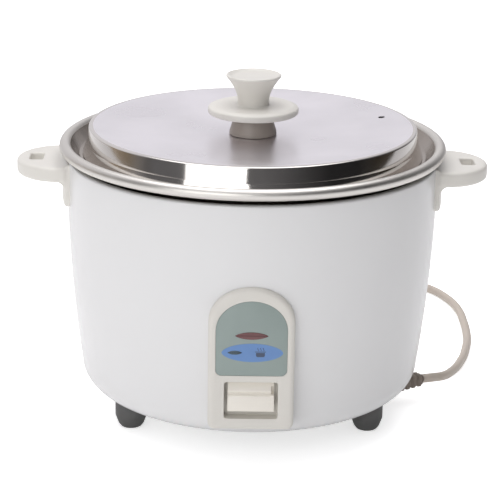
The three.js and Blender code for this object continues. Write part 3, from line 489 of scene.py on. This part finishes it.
def handle_plate():
    """A slice of a turned plate with round lower corners, and the hollow curve that leads into the lug."""
    outline = rounded([
        (CASE_R - 3, handle_low.z, 0), (plate_r - 1.2, handle_low.z, 0), (plate_r, handle_low.z + 2.4, 2),
        (plate_r, LUG_TOP - LUG_T, 7), (plate_r + 9, LUG_TOP - LUG_T + 0.6, 0), (plate_r + 9, LUG_TOP - 1, 0),
        (plate_r + 2, LUG_TOP - 0.4, 5), (plate_r - 3, handle_high.z, 0.8), (CASE_R - 3, handle_high.z, 0)])
    line = [(r, 0, z) for r, z in outline]
    piece = trace("handle_right_grip", line + line[:1])
    close_outline()
    bpy.ops.mesh.spin(steps=36, angle=math.radians(60), center=(0, 0, 0), axis=(0, 0, 1))
    tidy()
    bpy.ops.object.mode_set(mode="OBJECT")
    piece.data.transform(Matrix.Rotation(math.radians(30), 4, "Z"))
    side = LUG_HALF - 1.2
    front = rounded([(-side, handle_low.z - 1, 10), (side, handle_low.z - 1, 10), (side, TOP_Z + 9, 0),
                     (-side, TOP_Z + 9, 0)], closed=True)
    return combine(piece, slab("plate_front", front, 100, 190, axis="X"), "INTERSECT")


def handle_lug():
    """The flat lug: half an ellipse on short straight sides."""
    root = CASE_R + 5
    plan = [(CASE_R - 1, -LUG_HALF)]
    for k in range(41):
        turn = math.pi * (k / 40 - 0.5)
        plan.append((root + (tip_x - root) * math.cos(turn), LUG_HALF * math.sin(turn)))
    plan.append((CASE_R - 1, LUG_HALF))
    piece = slab("lug", plan, LUG_TOP - LUG_T, LUG_TOP, axis="Z")
    return round_edges(piece, 2.6, lambda at, way: abs(way.z) < 0.1 and at.x > CASE_R)


def make_handle():
    grip = combine(handle_plate(), handle_lug(), "UNION")
    combine(grip, brick((SLOT_X0, -SLOT_HALF, 150), (SLOT_X1, SLOT_HALF, 230)), "DIFFERENCE")
    fine = grip.modifiers.new("skin", "REMESH")
    fine.mode = "VOXEL"
    fine.voxel_size = 0.8 * MM
    soften = grip.modifiers.new("soften", "SMOOTH")
    soften.factor = 0.5
    soften.iterations = 8
    apply(grip)
    return smooth(grip, 60)


handle = make_handle()
mirror_handle = handle.copy()
mirror_handle.data = handle.data.copy()
mirror_handle.name = "handle_left_grip"
bpy.context.scene.collection.objects.link(mirror_handle)
mirror_handle.data.transform(Matrix.Rotation(math.pi, 4, "Z"))
stands_for(handle, "handle_right", slot="ivory_plastic")
stands_for(mirror_handle, "handle_left", slot="ivory_plastic")

# %% [markdown]
# The switch cover is a moulded arch with a flat front, a broad rounded edge, a shallow bed for the label
# and a pocket for the lever. It starts as a filled outline pushed forwards. The front edge is bevelled
# before the bed and the pocket are cut, so that their own edges stay crisp.

# %% Switch cover
cover_low, cover_high = span("switch_cover")
label_low, label_high = span("label_plate")
FRONT_Y = cover_low.y
COVER_HALF = cover_high.x


def arch(half, low, high, rise, corner, steps=28):
    """A closed arched outline in (x, z): half an ellipse over straight sides."""
    line = rounded([(-half, high - rise, 0), (-half, low, corner), (half, low, corner), (half, high - rise, 0)])
    for k in range(1, steps):
        turn = math.pi * k / steps
        line.append((half * math.cos(turn), high - rise + rise * math.sin(turn)))
    return line


def case_plug(grow=0.15):
    """A solid block in the shape of the case, to trim what stands against it."""
    outline = case_outline(grow, opening=0)
    return turned("case_plug", outline + [(0, outline[-1][1])], steps=160)


cover = slab("cover", arch(COVER_HALF, cover_low.z, cover_high.z, 26.6, 5), -112, FRONT_Y)
round_edges(cover, 3.6, lambda at, way: abs(at.y - FRONT_Y) < 0.01, segments=6)
LABEL_ARCH = 21.5
bed = slab("bed", arch(label_high.x + 0.2, label_low.z - 0.2, label_high.z + 0.2, LABEL_ARCH, 4.3),
           FRONT_Y + 1, FRONT_Y - 3)
combine(cover, bed, "DIFFERENCE")
POCKET_HALF, POCKET_D = 18.9, 8.5
pocket_low, pocket_high = cover_low.z + 8.7, cover_low.z + 8.7 + 27.5
pocket = slab("pocket", rounded([(-POCKET_HALF, pocket_low, 2), (POCKET_HALF, pocket_low, 2),
                                 (POCKET_HALF, pocket_high, 2), (-POCKET_HALF, pocket_high, 2)], closed=True),
              FRONT_Y + POCKET_D, FRONT_Y - 3)
combine(cover, pocket, "DIFFERENCE")
combine(cover, case_plug(), "DIFFERENCE")
edge = cover.modifiers.new("edge", "BEVEL")
edge.width = 0.45 * MM
edge.segments = 3
edge.limit_method = "ANGLE"
edge.angle_limit = math.radians(50)
edge.use_clamp_overlap = True
apply(cover)
smooth(cover, 30)
stands_for(cover, "switch_cover", slot="cover_plastic")

# %% [markdown]
# The label is a thin printed film let into the cover. The blue oval is a second film on it, the two
# windows are smoked plastic, and the small mark beside the cook window is a plain steaming pot.

# %% Label, oval and windows
label = slab("label", arch(label_high.x, label_low.z, label_high.z, LABEL_ARCH, 4), FRONT_Y + 0.9,
             FRONT_Y + 0.1)
round_edges(label, 0.15, lambda at, way: abs(at.y - FRONT_Y - 0.1) < 0.01, segments=2)
smooth(label, 30)
stands_for(label, "label_plate", slot="label_film")


def oval(name, x, z, wide, high, back, front, power=1.0, steps=48):
    """A closed oval plate. A power above 1 draws its ends into points."""
    line = []
    for k in range(steps):
        turn = 2 * math.pi * k / steps
        tall = math.copysign(abs(math.sin(turn)) ** power, math.sin(turn))
        line.append((x + wide / 2 * math.cos(turn), z + high / 2 * tall))
    return slab(name, line, back, front)


cook_low, cook_high = span("cook_lens")
cook_z = (cook_low.z + cook_high.z) / 2
blue_oval = oval("cook_oval", 0.6, cook_z, 42.8, 13.5, FRONT_Y + 0.5, FRONT_Y - 0.02, power=1.15)
smooth(blue_oval, 30)
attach(blue_oval, "cooker")
for lens in ("keep_warm", "cook"):
    lens_low, lens_high = span(lens + "_lens")
    middle = (lens_low + lens_high) / 2
    size = lens_high - lens_low
    window = oval(lens + "_window", middle.x, middle.z, size.x, size.z, FRONT_Y + 2.4, FRONT_Y - 0.35,
                  power=1.5)
    round_edges(window, 0.3, lambda at, way: abs(at.y - FRONT_Y + 0.35) < 0.01, segments=3)
    smooth(window, 40)
    stands_for(window, lens + "_lens", slot="red_lens" if lens == "keep_warm" else "dark_lens")


def pot_mark():
    """A pot with a lid and three wisps of steam, cut from thin film."""
    x, z = 6.2, cook_z - 0.4
    back, front = FRONT_Y + 0.2, FRONT_Y - 0.06
    pot = slab("pot_mark", rounded([(x - 3.1, z + 0.5, 0.2), (x + 3.1, z + 0.5, 0.2), (x + 3.1, z - 2.6, 1.2),
                                    (x - 3.1, z - 2.6, 1.2)], closed=True), back, front)
    parts = [slab("pot_lid", rounded([(x - 3.9, z + 0.9, 0.2), (x + 3.9, z + 0.9, 0.2), (x + 3.9, z + 1.4, 0.2),
                                      (x - 3.9, z + 1.4, 0.2)], closed=True), back, front)]
    for side in (-1.9, 0, 1.9):
        wisp = [(x + side + 0.35 * math.sin(k / 8 * 2 * math.pi), z + 1.9 + k * 0.28) for k in range(9)]
        wisp += [(px + 0.45, pz) for px, pz in reversed(wisp)]
        parts.append(slab("wisp", wisp, back, front))
    deselect()
    for part in parts + [pot]:
        part.select_set(True)
    bpy.context.view_layer.objects.active = pot
    bpy.ops.object.join()
    return pot


mark = pot_mark()
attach(mark, "cooker")

# %% [markdown]
# The cook lever is a wide rocker pad. Seen from the side it has a sloping roof, a valley and a pad that
# stands proud for the thumb. That side view is traced and pushed across, and the stub that reaches the
# works goes on behind.

# %% Lever
LEVER_HALF = lever_high.x
pad_y = lever_low.y
low_z, high_z = lever_low.z, lever_high.z
back_y = FRONT_Y + POCKET_D - 0.6
lever_side = rounded([
    (back_y, low_z + 1, 0.8), (back_y, high_z - 0.6, 0.6), (FRONT_Y + 4.6, high_z, 1),
    (FRONT_Y + 0.5, low_z + 14.4, 0.8), (FRONT_Y + 2.1, low_z + 12.8, 0.7), (pad_y + 0.6, low_z + 11.9, 1.1),
    (pad_y, low_z + 7.4, 1.5), (pad_y + 0.3, low_z, 1.4)], closed=True)
lever = slab("lever", lever_side, -LEVER_HALF, LEVER_HALF, axis="X")
round_edges(lever, 0.45, lambda at, way: abs(abs(at.x) - LEVER_HALF) < 0.01, segments=3)
notch = brick((LEVER_HALF - 2.2, FRONT_Y - 5, low_z + 12.4), (LEVER_HALF + 2, FRONT_Y + 5, high_z - 2.6))
combine(lever, notch, "DIFFERENCE")
combine(lever, brick((-6, back_y - 2, low_z + 5.6), (6, lever_high.y, low_z + 12.6)), "UNION")
smooth(lever, 30)
stands_for(lever, "cook_lever", body="lever", slot="lever_plastic")

# %% [markdown]
# The three feet are turned from one outline, straight above and tapered below, and trimmed to the curve
# of the case. They are hollow round their screws.

# %% Feet
for corner in ("rear", "front_left", "front_right"):
    foot_low, foot_high = span("foot_" + corner)
    middle = (foot_low + foot_high) / 2
    centre_x = middle.x
    centre_y = middle.y
    foot = turned("foot_" + corner + "_skin", rounded([
        (4.3, 8, 0), (4.3, 0, 0.4), (7.6, 0, 1.2), (9.6, 2.6, 3), (11.9, 9, 2.5), (11.9, 30, 0)]),
        steps=64, place=(centre_x, centre_y, 0))
    bpy.ops.object.mode_set(mode="EDIT")
    bpy.ops.mesh.select_all(action="DESELECT")
    bpy.ops.mesh.select_non_manifold()
    bpy.ops.mesh.edge_face_add()
    bpy.ops.mesh.select_all(action="SELECT")
    bpy.ops.mesh.normals_make_consistent(inside=False)
    bpy.ops.object.mode_set(mode="OBJECT")
    combine(foot, case_plug(), "DIFFERENCE")
    smooth(foot)
    stands_for(foot, "foot_" + corner, slot="foot_plastic")

# %% [markdown]
# The strain relief is soft moulded rubber: a boxy sleeve with ribs that get smaller towards the cord, so
# that it bends more and more easily. One block is pushed out again and again, wide for a rib and narrow
# for a groove. It is made lying along X, and then turned to the cord's heading.

# %% Strain relief
GLAND_START, GLAND_END = (106, 4.2), (134.5, 17.5)
CORD_Z = 17.5
RIB_COUNT = 6
SLEEVE_HALF = 6.6
THINNING = 1.7
gland_run = math.hypot(GLAND_END[0] - GLAND_START[0], GLAND_END[1] - GLAND_START[1])
heading = math.atan2(GLAND_END[1] - GLAND_START[1], GLAND_END[0] - GLAND_START[0])


def ribbed_sleeve():
    """A square sleeve along X whose section swells and shrinks, closed at both ends."""
    sections = [(0, SLEEVE_HALF)]
    for k in range(RIB_COUNT):
        at = gland_run * k / RIB_COUNT
        size = SLEEVE_HALF - THINNING * k / (RIB_COUNT - 1)
        sections += [(at + 0.4, size), (at + 3.2, size), (at + 3.4, size - 1), (at + 4.6, size - 1.1)]
    sections = [section for section in sections if section[0] < gland_run - 0.6]
    sections.append((gland_run - 0.3, 4.2))
    first = sections[0][1]
    piece = trace("strain_relief", [(0, -first, -first), (0, first, -first), (0, first, first),
                                    (0, -first, first), (0, -first, -first)])
    close_outline()
    for (at, size), (after, larger) in zip(sections, sections[1:]):
        bpy.ops.mesh.extrude_region_move(TRANSFORM_OT_translate={"value": ((after - at) * MM, 0, 0)})
        bpy.ops.transform.resize(value=(1, larger / size, larger / size))
    tidy()
    bpy.ops.object.mode_set(mode="OBJECT")
    round_edges(piece, 1.9, lambda at, way: abs(way.x) > 0.7 and abs(at.y) > 3, segments=3)
    soft = piece.modifiers.new("soft", "SUBSURF")
    soft.levels = soft.render_levels = 1
    apply(piece)
    piece.data.transform(Matrix.Rotation(heading, 4, "Z"))
    piece.data.transform(Matrix.Translation(Vector((GLAND_START[0], GLAND_START[1], CORD_Z)) * MM))
    combine(piece, case_plug(), "DIFFERENCE")
    return smooth(piece, 50)


sleeve = ribbed_sleeve()
stands_for(sleeve, "cord_gland", slot="gland_rubber")

# %% [markdown]
# The plug lies on its back beside the coil with its three flat pins up. Its body is a flattened moulding
# that narrows to the cord, with grip ribs on both flanks.

# %% Plug
plug_low, plug_high = span("plug_body")
plug_y = (plug_low.y + plug_high.y) / 2
plug_half = (plug_high.y - plug_low.y) / 2
neck_x = plug_high.x
plan = rounded([
    (neck_x, plug_y - 6.2, 1.5), (neck_x - 12, plug_y - 9, 8), (neck_x - 19, plug_y - plug_half, 7),
    (plug_low.x, plug_y - plug_half, 9), (plug_low.x, plug_y + plug_half, 9),
    (neck_x - 19, plug_y + plug_half, 7), (neck_x - 12, plug_y + 9, 8), (neck_x, plug_y + 6.2, 1.5)],
    closed=True)
plug = slab("plug", plan, 0, plug_high.z, axis="Z")
round_edges(plug, 2.6, lambda at, way: abs(way.z) < 0.1, segments=5)
for k in range(5):
    groove_x = plug_low.x + 8 + 3.6 * k
    for side in (-1, 1):
        low_y, high_y = sorted((plug_y + side * (plug_half - 0.8), plug_y + side * (plug_half + 3)))
        combine(plug, brick((groove_x, low_y, -2), (groove_x + 1.4, high_y, plug_high.z + 2)), "DIFFERENCE")
smooth(plug, 35)
stands_for(plug, "plug_body", slot="plug_plastic")
pins = []
for pin in ("live", "neutral", "earth"):
    pin_low, pin_high = span("plug_pin_" + pin)
    prong = brick(pin_low, pin_high)
    prong.name = "prong_" + pin
    round_edges(prong, 0.7, lambda at, way: at.z > pin_low.z + 1, segments=3)
    smooth(prong)
    stands_for(prong, "plug_pin_" + pin, slot="plug_brass")
    pins.append(prong)
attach(cord, "cooker")
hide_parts("power_cord", "power_cord_coil", "power_cord_tail")

# %% [markdown]
# With the pan lifted out, three turned pieces of the works come into view: the shield, the heater plate
# and the thermostat's cap. They get smooth skins too. The rest of the works keeps its engineering solids.

# %% Works seen from above
shield_low, shield_high = span("inner_shield")
heater_low, heater_high = span("heater_plate")
cap_low, cap_high = span("sensor_cap")
shield_r = 125.2
shield_floor = shield_low.z + 1
shield = turned("shield_skin", rounded([
    (24, shield_floor, 0), (100, shield_floor, 4), (110, shield_floor + 4.5, 10),
    (shield_r - 5.2, shield_floor + 17.5, 16), (shield_r - 1.5, shield_floor + 40, 20),
    (shield_r + 0.5, TOP_Z - 14.5, 3), (shield_r + 8.6, TOP_Z - 12.2, 0)]), steps=128, wall=1)
smooth(shield)
stands_for(shield, "inner_shield", slot="shield_steel")
heater_r, heater_rim = heater_high.x, heater_high.z - 1
heater_line = rounded([
    (19, heater_rim + 1, 0.8), (60, heater_rim + 0.6, 40), (heater_r, heater_rim, 1.6),
    (heater_r, heater_rim - 8, 1.6), (70, heater_rim - 8, 1), (67, heater_rim - 11.5, 2),
    (57, heater_rim - 11.5, 2), (54, heater_rim - 8, 1), (19, heater_rim - 8, 0.5)], closed=True)
heater = turned("heater_skin", heater_line + heater_line[:1], steps=128)
stands_for(heater, "heater_plate", slot="cast_aluminium")
cap = turned("thermostat_cap", rounded([
    (0, cap_high.z - 1.5, 0), (15.3, cap_high.z - 1.5, 0.5), (15.3, cap_low.z, 0.3), (16.5, cap_low.z, 0.3),
    (16.5, cap_high.z, 1.3), (0, cap_high.z, 0)]), steps=64)
stands_for(cap, "sensor_cap", body="sensor", slot="cast_aluminium")

# %% [markdown]
# Finishes. A colour is given as the hex value that a paint chart would give and turned to the linear
# values that the renderer works in. One small function adds a node with its settings and its links.

# %% Helpers: materials
def linear(code):
    """An sRGB hex colour as linear RGBA."""
    parts = [int(code[k:k + 2], 16) / 255 for k in (0, 2, 4)]
    return [c / 12.92 if c <= 0.04045 else ((c + 0.055) / 1.055) ** 2.4 for c in parts] + [1]


def add_node(tree, kind, links=None, **settings):
    """Adds a node. Settings are properties, or inputs by name, and links are inputs fed by outputs."""
    node = tree.nodes.new(kind)
    for name, value in settings.items():
        if hasattr(node, name):
            setattr(node, name, value)
        else:
            node.inputs[name.replace("_", " ")].default_value = value
    for name, output in (links or {}).items():
        tree.links.new(output, node.inputs[name])
    return node


def finish(name, colour, roughness, metallic=0.0, coat=0.0, coat_roughness=0.05, speckle=0.02, cloud_mm=40,
           grain_mm=0.6, bump=0.05, bump_mm=0.02, ior=1.5, rough_swing=0.05):
    """A finish with soft patches of tone, uneven gloss and a fine surface grain."""
    material = bpy.data.materials.new(name)
    material.use_nodes = True
    tree = material.node_tree
    shader = tree.nodes["Principled BSDF"]
    shader.inputs["Metallic"].default_value = metallic
    if not metallic:
        shader.inputs["IOR"].default_value = ior
    shader.inputs["Coat Weight"].default_value = coat
    shader.inputs["Coat Roughness"].default_value = coat_roughness
    place = add_node(tree, "ShaderNodeTexCoord").outputs["Object"]
    cloud = add_node(tree, "ShaderNodeTexNoise", {"Vector": place}, Scale=1 / (cloud_mm * MM), Detail=3)
    grain = add_node(tree, "ShaderNodeTexNoise", {"Vector": place}, Scale=1 / (grain_mm * MM), Detail=2)
    tone = add_node(tree, "ShaderNodeValToRGB", {"Fac": cloud.outputs["Fac"]})
    base = linear(colour)
    tone.color_ramp.elements[0].position = 0.35
    tone.color_ramp.elements[1].position = 0.65
    tone.color_ramp.elements[0].color = [c * (1 - speckle) for c in base[:3]] + [1]
    tone.color_ramp.elements[1].color = [min(c * (1 + speckle), 1) for c in base[:3]] + [1]
    gloss = add_node(tree, "ShaderNodeMapRange", {"Value": cloud.outputs["Fac"]})
    gloss.inputs["From Min"].default_value = 0.3
    gloss.inputs["From Max"].default_value = 0.7
    gloss.inputs["To Min"].default_value = max(roughness - rough_swing, 0.02)
    gloss.inputs["To Max"].default_value = roughness + rough_swing
    relief = add_node(tree, "ShaderNodeBump", {"Height": grain.outputs["Fac"]}, Strength=bump,
                      Distance=bump_mm * MM)
    tree.links.new(tone.outputs["Color"], shader.inputs["Base Color"])
    tree.links.new(gloss.outputs["Result"], shader.inputs["Roughness"])
    tree.links.new(relief.outputs["Normal"], shader.inputs["Normal"])
    return material


def wear(piece, material):
    """Gives a piece one finish all over."""
    piece.data.materials.clear()
    piece.data.materials.append(material)


print("white is", [round(c, 2) for c in linear("ffffff")])

# %% [markdown]
# Each finish says its colour, its gloss and the size of its grain and of its soft patches. Enamel is even
# and glossy under a clear coat, moulded plastic has a fine grain, and sheet metal differs mostly in
# roughness: a mirror at 0.09, a buffed face at 0.3, spun aluminium at 0.4.

# %% Finishes
enamel = finish("white baked enamel", "e5e5e5", 0.26, coat=0.3, coat_roughness=0.06, speckle=0.003,
                grain_mm=1.6, bump=0.06, bump_mm=0.02, rough_swing=0.005)
ivory = finish("ivory phenolic moulding", "e2dfd8", 0.36, coat=0.15, coat_roughness=0.2, speckle=0.012,
               grain_mm=0.5, bump=0.12, bump_mm=0.03)
# Painted shade: the knob's seat is the knob's ivory plastic, coloured darker for the shade under the disc.
ivory_painted_shade = finish("ivory moulding with painted shade", "a39a92", 0.4, speckle=0.02, bump=0.12, bump_mm=0.03)
cover_ivory = finish("ivory ABS moulding", "dddad3", 0.4, coat=0.1, coat_roughness=0.25, speckle=0.012,
                     grain_mm=0.5, bump=0.15, bump_mm=0.03)
cream = finish("cream ABS moulding", "efeae0", 0.36, coat=0.1, coat_roughness=0.2, speckle=0.01, grain_mm=0.5,
               bump=0.12, bump_mm=0.03)
polished = finish("mirror-polished stainless steel", "dcd8d4", 0.09, metallic=1, speckle=0.05, cloud_mm=60,
                  grain_mm=3, bump=0.02, bump_mm=0.02, rough_swing=0.03)
# Painted highlight: the buffed dish is the same steel as the skirt, given a lighter colour; only its roughness
# is its own.
buffed_with_painted_highlight = finish("buffed stainless steel with painted highlight", "f1eef2", 0.3, metallic=1, speckle=0.035, cloud_mm=55, grain_mm=0.8,
                bump=0.05, bump_mm=0.02, rough_swing=0.04)
spun = finish("satin spun aluminium", "dad7d2", 0.4, metallic=1, speckle=0.02, grain_mm=0.5, bump=0.1)
# Painted shade: the funnel and the pan's inside are the bead's aluminium, coloured darker to stand in for
# shade.
aluminium_painted_shade = finish("aluminium with painted shade", "a59d95", 0.2, metallic=1, speckle=0.06, cloud_mm=9, grain_mm=0.5,
                   bump=0.1)
plated = finish("zinc-plated steel sheet", "b7b8b6", 0.38, metallic=1, speckle=0.06, cloud_mm=9)
passivated = finish("yellow-passivated steel strip", "b6a987", 0.38, metallic=1, speckle=0.08, cloud_mm=7)
wire_steel = finish("drawn spring steel", "8f8f8e", 0.32, metallic=1, speckle=0.04, cloud_mm=5)
cast = finish("turned cast aluminium", "bdbbb7", 0.34, metallic=1, speckle=0.05, cloud_mm=12, grain_mm=0.8,
              bump=0.25, bump_mm=0.05)
foil = finish("foil-faced heating band", "c3c2bf", 0.3, metallic=1, speckle=0.06, cloud_mm=6, bump=0.3)
grey_foot = finish("dark grey moulded foot", "5c5c5b", 0.55, speckle=0.05, cloud_mm=8, grain_mm=0.4, bump=0.3,
                   bump_mm=0.05)
film = finish("grey-green printed film", "94a19d", 0.38, speckle=0.02, cloud_mm=12, grain_mm=0.3, bump=0.1)
blue_ink = finish("blue printed film", "6a8fc4", 0.38, speckle=0.03, cloud_mm=12, grain_mm=0.3, bump=0.1)
dark_ink = finish("dark blue-grey ink", "49546a", 0.45, speckle=0.03, grain_mm=0.3)
red_window = finish("smoked red window", "6b4243", 0.18, coat=0.4, speckle=0.08, cloud_mm=6)
dark_window = finish("smoked blue-grey window", "435560", 0.18, coat=0.4, speckle=0.08, cloud_mm=6)
gland_rubber = finish("grey-brown rubber", "857a70", 0.6, speckle=0.06, cloud_mm=5, grain_mm=0.4, bump=0.4,
                      bump_mm=0.08)
cord_skin = finish("warm grey PVC sheath", "c9beb2", 0.42, speckle=0.02, cloud_mm=14, grain_mm=0.6, bump=0.15)
plug_skin = finish("warm grey PVC moulding", "c6bbb0", 0.48, speckle=0.03, cloud_mm=12, grain_mm=0.4, bump=0.25)
brass = finish("nickel-tinted brass", "cfc09a", 0.26, metallic=1, speckle=0.04, cloud_mm=5)
black = finish("black moulded plastic", "211f1f", 0.45, speckle=0.1, cloud_mm=5, bump=0.2)
ceramic = finish("glazed ceramic", "ece6da", 0.3, coat=0.4, speckle=0.02, cloud_mm=6)
ferrite = finish("sintered ferrite", "343233", 0.55, metallic=0.4, speckle=0.12, cloud_mm=3, bump=0.35)
brown_wire = finish("brown silicone sleeve", "6b3f28", 0.5, speckle=0.05)
blue_wire = finish("blue silicone sleeve", "3a5f9a", 0.5, speckle=0.05)
red_button = finish("red moulded button", "a5352f", 0.4, speckle=0.04)
lamp_glass = finish("neon lamp glass", "e8b08a", 0.1, speckle=0.03)
lamp_glass.node_tree.nodes["Principled BSDF"].inputs["Transmission Weight"].default_value = 0.7

# %% [markdown]
# Every piece now gets its finish. The pan and the lid carry two each, shared out by how far a face lies
# from the middle. The works keep their engineering solids, and take a finish by what they are made of.

# %% Finishes on pieces
for piece, material in (
        (case, enamel), (pan, spun), (lid, polished), (knob, ivory), (seat, ivory_painted_shade), (handle, ivory),
        (mirror_handle, ivory), (cover, cover_ivory), (label, film), (blue_oval, blue_ink), (mark, dark_ink),
        (lever, cream), (sleeve, gland_rubber), (plug, plug_skin), (cord, cord_skin), (shield, plated),
        (heater, cast), (cap, cast)):
    wear(piece, material)
# Faces inside the bead take the darker aluminium, whose colour is painted shade.
pan.data.materials.append(aluminium_painted_shade)
for face in pan.data.polygons:
    if face.center.xy.length < (bead_r - BEAD_W / 2 + 0.4) * MM:
        face.material_index = 1
# Faces of the dish take the buffed steel, whose lighter colour is a painted highlight.
lid.data.materials.append(buffed_with_painted_highlight)
for face in lid.data.polygons:
    if face.center.xy.length < (crown_r - 2.5) * MM:
        face.material_index = 1
for name, material in (("keep_warm_window", red_window), ("cook_window", dark_window)):
    wear(bpy.data.objects[name], material)
for corner in ("rear", "front_left", "front_right"):
    wear(bpy.data.objects["foot_" + corner + "_skin"], grey_foot)
for prong in pins:
    wear(prong, brass)
SLOT_FINISH = {
    "shield_steel": plated, "heater_band_foil": foil, "base_steel": plated, "zinc_screw": plated,
    "lamp_glass": lamp_glass, "lamp_holder_plastic": ceramic, "plated_steel": passivated,
    "spring_steel": wire_steel, "switch_black": black, "button_red": red_button, "cast_aluminium": cast,
    "ferrite": ferrite, "terminal_ceramic": ceramic, "wire_brown": brown_wire, "wire_blue": blue_wire,
}
dressed = 0
for row in frame["record"]["subparts"]:
    node = frame["nodes"][row["node"]]
    if row["material_slot"] in SLOT_FINISH and not node.hide_render:
        for holder in node.material_slots:
            holder.material = SLOT_FINISH[row["material_slot"]]
        dressed += 1
print(dressed, "engineering solids dressed")

# %% [markdown]
# Two coil springs are pressed by what sits on them. A rigid spring would poke through the moving part;
# here each one only gets a mesh of its own and is not flattened.

# %% Springs get meshes of their own
for name, joint, foot_z, keep in (("sensor_spring", "sensor_press", 0.045, 0.34),
                                  ("lever_spring", "lever_press", 0.0271, 0.58)):
    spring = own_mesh(frame["nodes"][name])
    print(spring.name, "flattens with", joint)

# %% [markdown]
# The light is a plain bright studio: a white table, a large soft light to the left of the camera and
# another overhead. The table is lit from within so that it looks pure white, but gives most of that light
# to the camera only, or it would wash out the case. Polished metal needs something to mirror, so the sky is
# bright overhead and behind the cooker and dark behind the camera, which draws the dark band along the
# lid's skirt. It is darker to the right and tan low down at the sides, as a room behind a white tent is.

# %% Floor and light
deselect()
bpy.ops.mesh.primitive_plane_add(size=12, location=(0, 2.2, 0))
floor = bpy.context.object
floor.name = "studio_floor"
floor_white = finish("lit acrylic table", "fbfbfb", 0.9, speckle=0.0, bump=0)
table = floor_white.node_tree.nodes["Principled BSDF"]
table.inputs["Emission Color"].default_value = linear("ffffff")
seen = add_node(floor_white.node_tree, "ShaderNodeLightPath").outputs["Is Camera Ray"]
glow = add_node(floor_white.node_tree, "ShaderNodeMapRange", {"Value": seen}, To_Min=0.1, To_Max=0.6)
floor_white.node_tree.links.new(glow.outputs["Result"], table.inputs["Emission Strength"])
wear(floor, floor_white)


def soft_light(name, place, aim, wide, high, watts, colour="ffffff"):
    """A rectangular soft light that faces a point."""
    data = bpy.data.lights.new(name, "AREA")
    data.shape = "RECTANGLE"
    data.size, data.size_y = wide, high
    data.energy = watts
    data.color = linear(colour)[:3]
    lamp = bpy.data.objects.new(name, data)
    bpy.context.scene.collection.objects.link(lamp)
    turn = (Vector(aim) - Vector(place)).to_track_quat("-Z", "Y").to_matrix().to_4x4()
    lamp.matrix_world = Matrix.Translation(Vector(place)) @ turn
    return lamp


soft_light("key", (-0.97, -2.12, 0.85), (0, 0, 0.12), 1.8, 1.3, 18)
soft_light("top", (0, 0.3, 2.4), (0, 0, 0), 2.4, 2.0, 30)

world = bpy.data.worlds.new("studio")
bpy.context.scene.world = world
world.use_nodes = True
sky = world.node_tree
way = add_node(sky, "ShaderNodeTexCoord").outputs["Generated"]
split = add_node(sky, "ShaderNodeSeparateXYZ", {"Vector": way})


def span_map(value, low, high, low_to, high_to):
    """A number mapped from one range to another, clamped."""
    node = add_node(sky, "ShaderNodeMapRange", {"Value": value})
    for name, number in (("From Min", low), ("From Max", high), ("To Min", low_to), ("To Max", high_to)):
        node.inputs[name].default_value = number
    return node.outputs["Result"]


def combine_values(operation, first, second):
    node = add_node(sky, "ShaderNodeMath", {0: first, 1: second}, operation=operation)
    return node.outputs[0]


overhead = span_map(split.outputs["Z"], 0.45, 0.85, 0, 0.85)
behind = span_map(split.outputs["Y"], -0.25, 0.35, 0.14, 0.8)
side = span_map(split.outputs["X"], 0.1, 0.8, 0.97, 0.15)
level = combine_values("MULTIPLY", combine_values("MAXIMUM", overhead, behind), side)
sky.links.new(level, sky.nodes["Background"].inputs["Strength"])
beside = combine_values("MULTIPLY", span_map(split.outputs["Y"], -0.35, 0.05, 0, 1),
                        span_map(split.outputs["Y"], 0.4, 0.75, 1, 0))
warm = combine_values("MULTIPLY", beside, span_map(split.outputs["Z"], 0.1, 0.28, 1, 0))
tint = add_node(sky, "ShaderNodeValToRGB", {"Fac": warm})
tint.color_ramp.elements[0].color = linear("fdfbff")
tint.color_ramp.elements[1].color = linear("ad9c86")
sky.links.new(tint.outputs["Color"], sky.nodes["Background"].inputs["Color"])
